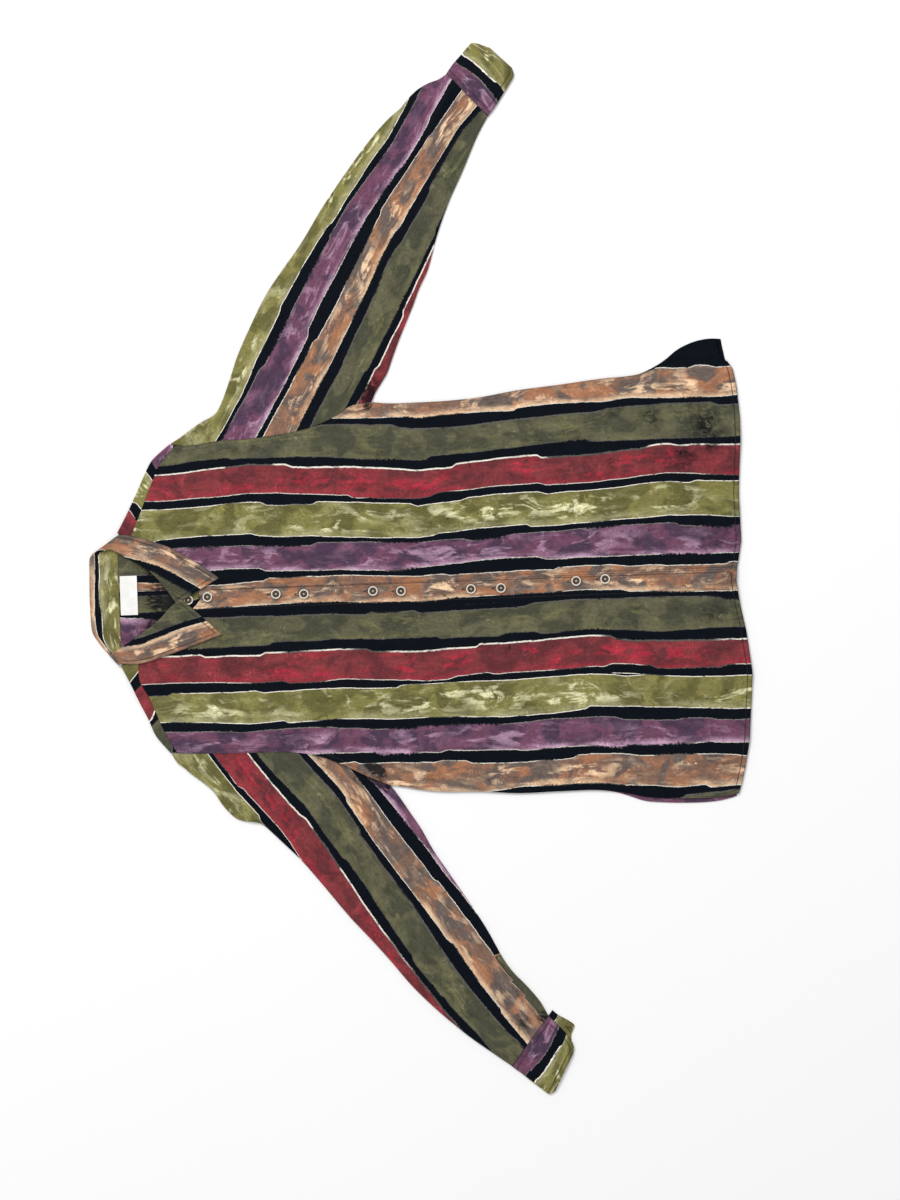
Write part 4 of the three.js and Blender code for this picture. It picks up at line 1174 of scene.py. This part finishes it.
def lay_sleeve(name, armhole, outer_rows, under_rows, outward, stripes, direction, seed):
    """A sleeve as a flattened tube, its lower layer on the table."""
    cloth = bpy.context.scene.shirt_cloth
    start = spaced(moved(armhole, outward), SLEEVE_COLUMNS)
    outer = smooth_line(outer_rows, SLEEVE_RINGS)
    under = smooth_line(under_rows, SLEEVE_RINGS)
    outer[0], under[0] = start[0], start[-1]
    across = Vector((-direction.y, direction.x, 0))
    if across.y < 0:
        across = -across

    def pair(spot, beyond=0.0):
        """Layout of a point, which lies beyond its own place where the cloth runs back underneath."""
        along, wide = spot.dot(direction), spot.dot(across) + beyond
        stripe = stripe_at(stripes, along, wide)
        if "5" in stripes[0] and beyond == 0 and along > TUCK_FROM:
            tuck = look_up(stripes, "at", along, "5") - HALF_BROWN - wide
            if tuck > 0:
                stripe = TUCK_STRIPE - tuck / TUCK_PITCH
        return stripe * STRIPE_PITCH, along / 1000

    grid, uv = [], []
    for tip, low, along in zip(outer, under, steps(0, 1, SLEEVE_RINGS)):
        loft = mix(SLEEVE_LOFT, CUFF_LOFT, ramp(0.55, 1, along))
        ring = []
        for begin, part in zip(start, steps(0, 1, SLEEVE_COLUMNS)):
            point = tip.lerp(low, part) + (begin - start[0].lerp(start[-1], part)) * (1 - along) ** 4
            crease = small_creases(point.x, point.y, seed) * 1.6 * ramp(0.02, 0.2, along)
            crease = (crease + fold_height(SLEEVE_CREASES, point.x, point.y)) * cloth.crease
            body = ON_BACK + 0.1 + (loft + fold_height(FOLDS, point.x, point.y) + crease) * crown(part)
            height = mix(left_front_z(begin.x, begin.y), body, ramp(0, 0.16, along))
            ring.append(Vector((point.x, point.y, max(height, ON_BACK))))
        (near_middle, near), (far_middle, far) = (
            round_fold(end, level(end - inner), ON_TABLE, (end.z - ON_TABLE) / 2, SLEEVE_ROUND)
            for end, inner in ((ring[0], ring[1]), (ring[-1], ring[-2]))
        )
        near.reverse()
        flat_line = [near_middle, *ring[1:-1], far_middle]
        top = [Vector((p.x, p.y, q.z)) for p, q in zip(flat_line, ring)]
        below = [Vector((p.x, p.y, ON_TABLE)) for p in flat_line[::-1]]
        shown = near[3:] + top + far[:4]
        hidden = far[4:] + below + near[:3]
        grid.append(shown + hidden)
        fold_across = far[3].dot(across)
        back = [pair(p, 2 * (fold_across - p.dot(across))) for p in hidden + shown[:1]]
        uv.append([pair(p) for p in shown] + back)
    near = [[NEAR * (j in (0, SLEEVE_RINGS - 1)) for _ in row] for j, row in enumerate(grid)]
    lay_sheet(name, grid, uv, near, wrap=True, marks=SLEEVE_SHADE)


def lay_cuff(name, rows, under_shows):
    """A cuff as one doubled strip, open at its under side."""
    off_sleeve = (plan(rows[1], "fold_") - plan(rows[0], "fold_")).normalized() * SEAM
    parts = steps(0, 0.96, CUFF_COLUMNS)
    radius = LAYER / 2 + 0.05
    grid, uv, depths = [], [], []
    depth = 0.0
    before = None
    for place in steps(0, len(rows) - 1, 30):
        row = row_at(rows, place)
        fold, opened, lap = (plan(row, kind) + off_sleeve * max(0, 1 - place) for kind in ("fold_", "open_", "lap_"))
        middle = fold.lerp(opened, 0.5)
        depth += (middle - before).length if before else 0
        before = middle
        centre, bend = round_fold(fold, (fold - opened).normalized(), ON_TABLE, radius, HALF_ROUND)
        dip = groove(depth - 2.5, 1.6, 0.25)
        top, lower = [opened.lerp(centre, part) for part in parts], [lap.lerp(centre, part) for part in parts[::-1]]
        for spot, part in zip(top, parts):
            spot.z = ON_TABLE + 2 * radius + CUFF_LOFT * crown(part) - dip
        for spot in lower:
            spot.z = ON_TABLE
        line = top + bend + lower
        grid.append(line)
        far, last = 0.0, line[0]
        pairs = []
        for i, point in enumerate(line):
            far += (point - last).length
            last = point
            bow = 5 * (1 - (2 * min(i / (CUFF_COLUMNS - 1), 1) - 1) ** 2) * ramp(2, 16, depth)
            stripe = look_up(CUFF_STRIPES, "depth", depth - bow, "stripe")
            if under_shows and i >= CUFF_COLUMNS + 2:
                stripe = look_up(CUFF_STRIPES, "depth", depth, "under")
            pairs.append((stripe * STRIPE_PITCH, far / 1000 + CUFF_START))
        uv.append(pairs)
        depths.append(depth)
    near = []
    for here, line in zip(depths, grid):
        ends = [min((point - line[0]).length, (point - line[-1]).length) for point in line]
        near.append([NEAR - min(here, depth - here, end, NEAR) for end in ends])
    doubled = bpy.context.scene.shirt_cloth.doubled
    lay_sheet(name, grid, uv, near, thickness=doubled)


def stand_tab(stand, stand_uv):
    """The tab that holds the top button, from its round end to the stand's first column."""
    tab, tab_uv = [], []
    for t in steps(0, 1, 8):
        line = []
        for part in steps(0, 1, len(stand)):
            a, b = (plan(end, "top_").lerp(plan(end, "seam_"), part) for end in STAND_TAB)
            a.z, b.z = (end["z"] for end in STAND_TAB)
            round_off = ramp(0.2, 0, 0.5 - abs(part - 0.5))
            line.append(a.lerp(b, max(t, 0.35 * (1 - t) * round_off)))
        tab.append(line)
        tab_uv.append([(1.5 * STRIPE_PITCH, STAND_START - 0.01 * (1 - t))] * len(stand))
    for t in (0.33, 0.67):
        tab.append([a.lerp(b, t) for a, b in zip(tab[7], stand)])
        tab_uv.append([(mix(a[0], b[0], t), mix(a[1], b[1], t)) for a, b in zip(tab_uv[7], stand_uv)])
    return tab, tab_uv


def lay_collar():
    """The collar's leaf, folded over its stand, and the stand with its tab."""
    doubled = bpy.context.scene.shirt_cloth.doubled
    last = len(COLLAR) - 1
    rolls = [collar_place(place, 0.5, 1) for place in (0, last)]
    tips = [collar_place(place, leaf_width(place), 1) for place in (0, last)]
    fronts = [(tip - roll).normalized() for tip, roll in zip(tips, rolls)]
    bend = LAYER / 2
    around = [(bend * (1 - math.sin(a)), (1 - math.cos(a)) / 2) for a in map(math.radians, (30, 60, 90, 120, 150))]
    leaf, leaf_uv, leaf_near, stand, stand_uv = [], [], [], [], []
    along = 0.0
    before = None
    for place in steps(0, last, 230):
        row = row_at(COLLAR, place, straight=("turn",))
        turning = min(max(row["turn"], 0), 180) / 180
        width = leaf_width(place)
        edge = collar_place(place, width * 0.5, 1)
        along += (edge - before).length / 1000 if before else 0
        before = edge
        brown_middle = mix(8.5, width - 12, ramp(0.1, 0.9, turning))
        roll, front = rolls[place > COLLAR_MIDDLE], fronts[place > COLLAR_MIDDLE]
        line = [(far, 0) for far in steps(row["lip"], 0.5, 6)] + around + [(far, 1) for far in steps(1.0, width, 24)]
        points, pairs, close = [], [], []
        for far, layer in line:
            point = collar_place(place, far, layer)
            offset = point - roll
            offset.z = 0
            from_end = 1.2 * (offset - front * offset.dot(front)).length
            close.append(NEAR - min(1.2 * (width - far if layer == 1 else NEAR), from_end, NEAR))
            if layer == 1:
                dip = groove(width - far - 5.2, 1.3, 0.2)
                point.z -= dip if turning > 0.5 else -dip
            points.append(point)
            outside = far if layer >= 0.5 else -far
            pairs.append(((outside - brown_middle) / LEAF_PITCH * STRIPE_PITCH, LEAF_START + along))
        leaf.append(points)
        leaf_uv.append(pairs)
        leaf_near.append(close)
        folded = min(row["turn"], 180 - row["turn"]) > 4
        begin = row["lip"] + SEAM + (FOLD_ROOM if folded else 0)
        points, pairs = [], []
        for far in steps(begin, neck_seam(place), 14):
            point = collar_place(place, far, 0)
            point.z -= row["sink"] * (1 - ramp(21, 30, far))
            points.append(point)
            pairs.append(((1.56 + (far - begin) / STAND_PITCH) * STRIPE_PITCH, STAND_START + along))
        stand.append(points)
        stand_uv.append(pairs)
    tab, tab_uv = stand_tab(stand[0], stand_uv[0])
    near = [[NEAR * (i == len(row) - 1) for i in range(len(row))] for row in tab + stand]
    lay_sheet(
        "collar_stand", tab + stand, tab_uv + stand_uv, near,
        thickness=doubled,
    )
    lay_sheet(
        "collar_leaf", leaf, leaf_uv,
        leaf_near, thickness=doubled,
    )


def lay_label():
    """The bare label on the yoke, a little curled."""
    grid, uv = [], []
    for across in steps(-LABEL_SIZE[1], LABEL_SIZE[1], 20):
        row, pairs = [], []
        for along in steps(-LABEL_SIZE[0], LABEL_SIZE[0], 40):
            x, y = LABEL_MIDDLE[0] + along, LABEL_MIDDLE[1] + across
            curl = 0.5 * ramp(6, LABEL_SIZE[1], -across) + 0.2 * math.sin(along / 9)
            row.append(Vector((x, y, yoke_z(x, y) + 1.25 + curl)))
            pairs.append((along / 1000, across / 1000))
        grid.append(row)
        uv.append(pairs)
    piece = lay_sheet(
        "label", grid, uv, thickness=0.0004, replaced="neck_label"
    )
    piece.data.materials.clear()
    piece.data.materials.append(white_tape())


def cylinder(sides, radius, depth, x=0, y=0, z=0, ends="NGON"):
    """A new cylinder as the active object."""
    away()
    bpy.ops.mesh.primitive_cylinder_add(
        vertices=sides, radius=radius, depth=depth, location=(x, y, z), end_fill_type=ends
    )
    return bpy.context.object


def turned(degrees, axis):
    return Matrix.Rotation(math.radians(degrees), 4, axis)


def model_button():
    """One button, turned from a disc: a raised rim, a dished middle, four holes and two bars of thread."""
    size = bpy.context.scene.shirt_buttons
    button = cylinder(size.sides, size.radius, size.height, z=size.height / 2)
    bpy.ops.object.transform_apply(location=True, rotation=True, scale=True)
    bpy.ops.object.mode_set(mode="EDIT")
    bpy.ops.mesh.select_mode(type="FACE")
    bpy.ops.object.mode_set(mode="OBJECT")
    for face in button.data.polygons:
        face.select = face.normal.z > 0.9
    bpy.ops.object.mode_set(mode="EDIT")
    bpy.ops.mesh.inset(thickness=size.rim)
    bpy.ops.mesh.inset(thickness=DISH_SLOPE)
    bpy.ops.transform.translate(value=(0, 0, -size.dish))
    bpy.ops.mesh.inset(thickness=size.radius * 0.3)
    bpy.ops.object.mode_set(mode="OBJECT")
    edges = button.modifiers.new("soft edges", "BEVEL")
    edges.width, edges.segments, edges.limit_method = BUTTON_ROUND, 3, "ANGLE"
    edges.angle_limit = math.radians(35)
    apply_modifiers(button)
    for angle in map(math.radians, (45, 135, 225, 315)):
        x, y = HOLE_SPREAD * math.cos(angle), HOLE_SPREAD * math.sin(angle)
        drill = cylinder(12, size.hole, size.height * 3, x, y)
        cut = button.modifiers.new("hole", "BOOLEAN")
        cut.object, cut.operation, cut.solver = drill, "DIFFERENCE", "EXACT"
        apply_modifiers(button)
        bpy.data.objects.remove(drill)
    choose(button)
    bpy.ops.object.shade_smooth_by_angle(angle=math.radians(40))
    # Where the pale painted highlight lies: on the rim from its inner edge outward, and only near its top
    rim = button.data.attributes.new("rim", "FLOAT", "POINT")
    inner = size.radius - size.rim
    for vertex, value in zip(button.data.vertices, rim.data):
        far = math.hypot(vertex.co.x, vertex.co.y)
        value.value = ramp(inner - 0.0004, inner + 0.0002, far) * ramp(0.0008, 0.0016, vertex.co.z)
    button.data.materials.append(horn())
    for turn in (0, 1):
        bar = cylinder(8, BAR_RADIUS, 2 * HOLE_SPREAD)
        bar.data.transform(turned(90, "X"))
        bar.data.transform(turned(90 * turn - 45, "Z"))
        bar.data.transform(Matrix.Translation((0, 0, size.height - size.dish + BAR_LIFT + BAR_LIFT * turn)))
        bar.data.materials.append(sewing_thread("button thread", size.thread_colour))
        choose(button)
        bar.select_set(True)
        bpy.ops.object.join()
    return button


def sew_buttons():
    """Sews ten copies of the button to the placket and the stand's tab."""
    button = model_button()
    radius = 5.7
    places = [(TOP_BUTTON[0], TOP_BUTTON[1], TOP_BUTTON[2] + WALL / 2)]
    for x, y in BUTTON_PLACES:
        ring = [(x + radius * math.cos(a), y + radius * math.sin(a)) for a in steps(0, 2 * math.pi, 13)]
        places.append((x, y, max(right_front_z(*spot) for spot in ring) + 0.45))
    for i, (x, y, z) in enumerate(places):
        mesh = button.data.copy()
        flatten = Matrix.Diagonal((1, 1, 0.72 if i == 0 else 1, 1))
        place = Matrix.Translation((x / 1000, y / 1000, (z + 0.25) / 1000))
        mesh.transform(place @ turned((i * 37) % 90, "Z") @ flatten)
        enter(linked(f"shirt_button_{i + 1:02d}", mesh), f"button_{i + 1:02d}")
    bpy.data.objects.remove(button)


def stitched_piece(name, lines):
    """Sews rows of stitches along lines of points into one piece."""
    size = bpy.context.scene.shirt_sewing
    half = size.stitch / 2
    pattern = cylinder(6, size.thread / 2, 2 * half, ends="TRIFAN")
    pattern.data.transform(turned(90, "Y"))
    for vertex in pattern.data.vertices:
        if abs(vertex.co.y) + abs(vertex.co.z) < 1e-7:
            vertex.co.x *= 1.12
        elif abs(vertex.co.x) > half * 0.9:
            vertex.co.z -= size.thread * 0.35
    shape = [vertex.co.copy() for vertex in pattern.data.vertices]
    sides = [list(face.vertices) for face in pattern.data.polygons]
    bpy.data.objects.remove(pattern)
    vertices, faces = [], []
    random.seed(name)
    step = (size.stitch + size.gap) * 1000
    for line in lines:
        far = sum((b - a).length for a, b in zip(line, line[1:]))
        places = spaced(line, max(int(far / step), 2) * 2 + 1)
        for a, b in zip(places[0::2], places[1::2]):
            along = (b - a).normalized()
            across = Vector((0, 0, 1)).cross(along).normalized()
            up = along.cross(across)
            middle = a.lerp(b, 0.5) / 1000 + across * random.uniform(-0.00008, 0.00008)
            base = len(vertices)
            vertices += [middle + along * p.x + across * p.y + up * p.z for p in shape]
            faces += [[base + k for k in side] for side in sides]
    mesh = bpy.data.meshes.new(name)
    mesh.from_pydata(vertices, [], faces)
    mesh.shade_smooth()
    mesh.materials.append(dark_thread())
    enter(linked(name, mesh))


def sew_buttonholes(height):
    """Models one thin stitched oval and sews a copy under each button of the placket."""
    away()
    bpy.ops.mesh.primitive_torus_add(
        major_segments=24, minor_segments=4, major_radius=0.0034, minor_radius=0.00055, location=(0, 0, 0)
    )
    oval = bpy.context.object
    oval.data.transform(Matrix.Diagonal((0.42, 2.3, 0.6, 1)))
    oval.data.materials.append(dark_thread())
    for i, (x, y) in enumerate(BUTTON_PLACES):
        mesh = oval.data.copy()
        mesh.transform(Matrix.Translation((x / 1000, (y + 2.5) / 1000, (height(x, y + 2.5) + 0.5) / 1000)))
        enter(linked(f"buttonhole_{i + 1}", mesh))
    bpy.data.objects.remove(oval)


def sew_seams():
    """Sews the rows of stitches of both fronts, the collar and the cuffs, and the buttonholes."""
    inset = bpy.context.scene.shirt_sewing.inset * 1000
    right = front_surface(right_front_z, FRONT_EDGE, 11)
    left = front_surface(left_front_z, LEFT_FRONT_EDGE, 3)

    def hem(start, end, count):
        return [(x, hem_y(x) + inset) for x in steps(start, end, count)]

    def upward(x, to_x, y):
        return list(zip(steps(x, to_x, 160), steps(y, 250, 160)))

    def on_cloth(places, height):
        return [Vector((x, y, height(x, y) + 0.5)) for x, y in places]

    armhole = [(p.x + 5, p.y) for p in ARMHOLES["right"] if p.y > 70]
    lines = (hem(-273, -12, 90), upward(-9.5, -12.5, -374), upward(-34, -35.5, -372), armhole)
    stitched_piece("stitching_front_right", [on_cloth(line, right) for line in lines])
    armhole = [(p.x - 5, p.y) for p in ARMHOLES["left"] if p.y > 60]
    lines = (hem(3, 233, 80), armhole)
    stitched_piece("stitching_front_left", [on_cloth(line, left) for line in lines])
    collar = []
    for start, end in ((0.35, 8.6), (23.4, 31.65)):
        collar.append([collar_place(place, leaf_width(place) - 5, 1) for place in steps(start, end, 120)])
    for place in (0.35, 31.65):
        collar.append([collar_place(place, far, 1) for far in steps(4, leaf_width(place) - 5, 40)])
    lift = Vector((0, 0, 0.62))
    stitched_piece("stitching_collar", [[point + lift for point in line] for line in collar])
    cuffs = []
    for rows in (CUFF_LEFT, CUFF_RIGHT):
        for place in (0.14, 0.3, len(rows) - 1.35):
            row = row_at(rows, place)
            line = []
            for t in steps(0.04, 0.93, 60):
                line.append(plan(row, "open_").lerp(plan(row, "fold_"), t))
                line[-1].z = ON_TABLE + LAYER + 0.7 + CUFF_LOFT * crown(t)
            cuffs.append(line)
    stitched_piece("stitching_cuffs", cuffs)
    sew_buttonholes(right)


class SHIRT_OT_back(bpy.types.Operator):
    """Lays the back and the yoke"""

    bl_idname = "shirt.back"
    bl_label = "Back and yoke"

    def execute(self, context):
        lay_back()
        lay_yoke()
        return {"FINISHED"}


class SHIRT_OT_fronts(bpy.types.Operator):
    """Lays the two fronts over the back"""

    bl_idname = "shirt.fronts"
    bl_label = "Fronts"

    def execute(self, context):
        lay_front(
            "front_left", SIDE_LEFT, ARMHOLES["left"], SHOULDER_LEFT, (6, 0), LEFT_FRONT_CORNER,
            LEFT_FRONT_EDGE, -SEAM / 2, left_front_z, 3,
        )
        lay_front(
            "front_right", SIDE_RIGHT, ARMHOLES["right"], SHOULDER_RIGHT, (26, 32), RIGHT_FRONT_CORNER,
            FRONT_EDGE, SEAM / 2, right_front_z, 11,
        )
        return {"FINISHED"}


class SHIRT_OT_sleeves(bpy.types.Operator):
    """Lays both sleeves as flattened tubes"""

    bl_idname = "shirt.sleeves"
    bl_label = "Sleeves"

    def execute(self, context):
        lay_sleeve(
            "sleeve_left", ARMHOLES["left"], SLEEVE_LEFT_OUTER, SLEEVE_LEFT_UNDER, SEAM / 2,
            LEFT_SLEEVE_STRIPES, Vector((0.858, -0.513, 0)), 21,
        )
        lay_sleeve(
            "sleeve_right", ARMHOLES["right"], SLEEVE_RIGHT_OUTER, SLEEVE_RIGHT_UNDER, -SEAM / 2,
            RIGHT_SLEEVE_STRIPES, Vector((-0.82, -0.572, 0)), 31,
        )
        return {"FINISHED"}


class SHIRT_OT_cuffs(bpy.types.Operator):
    """Lays both cuffs"""

    bl_idname = "shirt.cuffs"
    bl_label = "Cuffs"

    def execute(self, context):
        lay_cuff("cuff_left", CUFF_LEFT, False)
        lay_cuff("cuff_right", CUFF_RIGHT, True)
        return {"FINISHED"}


class SHIRT_OT_collar(bpy.types.Operator):
    """Lays the collar's stand and leaf"""

    bl_idname = "shirt.collar"
    bl_label = "Collar"

    def execute(self, context):
        lay_collar()
        return {"FINISHED"}


class SHIRT_OT_label(bpy.types.Operator):
    """Lays the bare neck label"""

    bl_idname = "shirt.label"
    bl_label = "Neck label"

    def execute(self, context):
        lay_label()
        return {"FINISHED"}


class SHIRT_OT_buttons(bpy.types.Operator):
    """Models one button and sews on ten copies"""

    bl_idname = "shirt.buttons"
    bl_label = "Buttons"

    def execute(self, context):
        sew_buttons()
        return {"FINISHED"}


class SHIRT_OT_stitching(bpy.types.Operator):
    """Sews the rows of stitches"""

    bl_idname = "shirt.stitching"
    bl_label = "Stitching"

    def execute(self, context):
        sew_seams()
        return {"FINISHED"}


class SHIRT_OT_stage(bpy.types.Operator):
    """Sets the pale table, the soft light and the camera above"""

    bl_idname = "shirt.stage"
    bl_label = "Stage"

    def execute(self, context):
        stage = context.scene.shirt_stage
        away()
        bpy.ops.mesh.primitive_plane_add(size=TABLE_SIZE, location=(0, 0, 0))
        floor = context.object
        floor.name = "floor"
        material, tree, shader = new_material("pale table")
        shade = blend(piece_noise(tree, (3, 3, 3), 2.0), (0.965, 0.965, 0.965), (0.975, 0.975, 0.975))
        set_inputs(shader, base_color=shade, roughness=0.9, specular_ior_level=0.1)
        floor.data.materials.append(material)
        world = bpy.data.worlds.new("even light")
        world.use_nodes = True
        set_inputs(world.node_tree.nodes["Background"], color=(1, 1, 1, 1), strength=stage.sky)
        context.scene.world = world
        lamp = bpy.data.lights.new("soft lamp", "AREA")
        lamp.energy, lamp.size = stage.lamp, LAMP_SIZE
        lamp_object = linked("soft lamp", lamp)
        lamp_object.location = LAMP_PLACE
        lamp_object.rotation_euler = (-Vector(LAMP_PLACE)).to_track_quat("-Z", "Y").to_euler()
        camera = bpy.data.cameras.new("camera")
        camera.sensor_width = SENSOR
        camera.lens = SENSOR * stage.height / stage.frame_height
        camera.clip_end = 50
        camera_object = linked("camera", camera)
        camera_object.location = (*CAMERA_PLACE, stage.height)
        camera_object.rotation_euler = (0, 0, math.radians(CAMERA_TURN))
        context.scene.camera = camera_object
        context.scene.view_settings.view_transform = "Standard"
        return {"FINISHED"}


OPERATORS = (
    SHIRT_OT_back,
    SHIRT_OT_fronts,
    SHIRT_OT_sleeves,
    SHIRT_OT_cuffs,
    SHIRT_OT_collar,
    SHIRT_OT_label,
    SHIRT_OT_buttons,
    SHIRT_OT_stitching,
    SHIRT_OT_stage,
)
GROUPS = {
    "shirt_cloth": ShirtCloth,
    "shirt_sewing": ShirtSewing,
    "shirt_buttons": ShirtButtons,
    "shirt_stage": ShirtStage,
}


class SHIRT_PT_panel(bpy.types.Panel):
    """Lists the shirt's steps and its sizes and colours"""

    bl_idname = "SHIRT_PT_panel"
    bl_label = "Striped shirt"
    bl_space_type = "VIEW_3D"
    bl_region_type = "UI"
    bl_category = "Shirt"

    def draw(self, context):
        for operator in OPERATORS:
            self.layout.operator(operator.bl_idname)
        for name, group in GROUPS.items():
            box = self.layout.box()
            for key in group.__annotations__:
                box.prop(getattr(context.scene, name), key)


def register():
    for group in GROUPS.values():
        bpy.utils.register_class(group)
    for name, group in GROUPS.items():
        setattr(bpy.types.Scene, name, PointerProperty(type=group))
    for operator in OPERATORS:
        bpy.utils.register_class(operator)
    bpy.utils.register_class(SHIRT_PT_panel)


def unregister():
    bpy.utils.unregister_class(SHIRT_PT_panel)
    for operator in OPERATORS[::-1]:
        bpy.utils.unregister_class(operator)
    for name in GROUPS:
        delattr(bpy.types.Scene, name)
    for group in GROUPS.values():
        bpy.utils.unregister_class(group)


ARMHOLES = {"left": smooth_line(ARMHOLE_LEFT, 60), "right": smooth_line(ARMHOLE_RIGHT, 60)}
SEAM_ENDS = {"left": smooth_line(ARMHOLE_LEFT, 9)[1], "right": smooth_line(ARMHOLE_RIGHT, 9)[1]}


def main():
    register()
    bpy.ops.shirt.stage()
    bpy.ops.shirt.back()
    bpy.ops.shirt.fronts()
    bpy.ops.shirt.sleeves()
    bpy.ops.shirt.cuffs()
    bpy.ops.shirt.collar()
    bpy.ops.shirt.label()
    bpy.ops.shirt.buttons()
    bpy.ops.shirt.stitching()


if __name__ == "__main__":
    main()
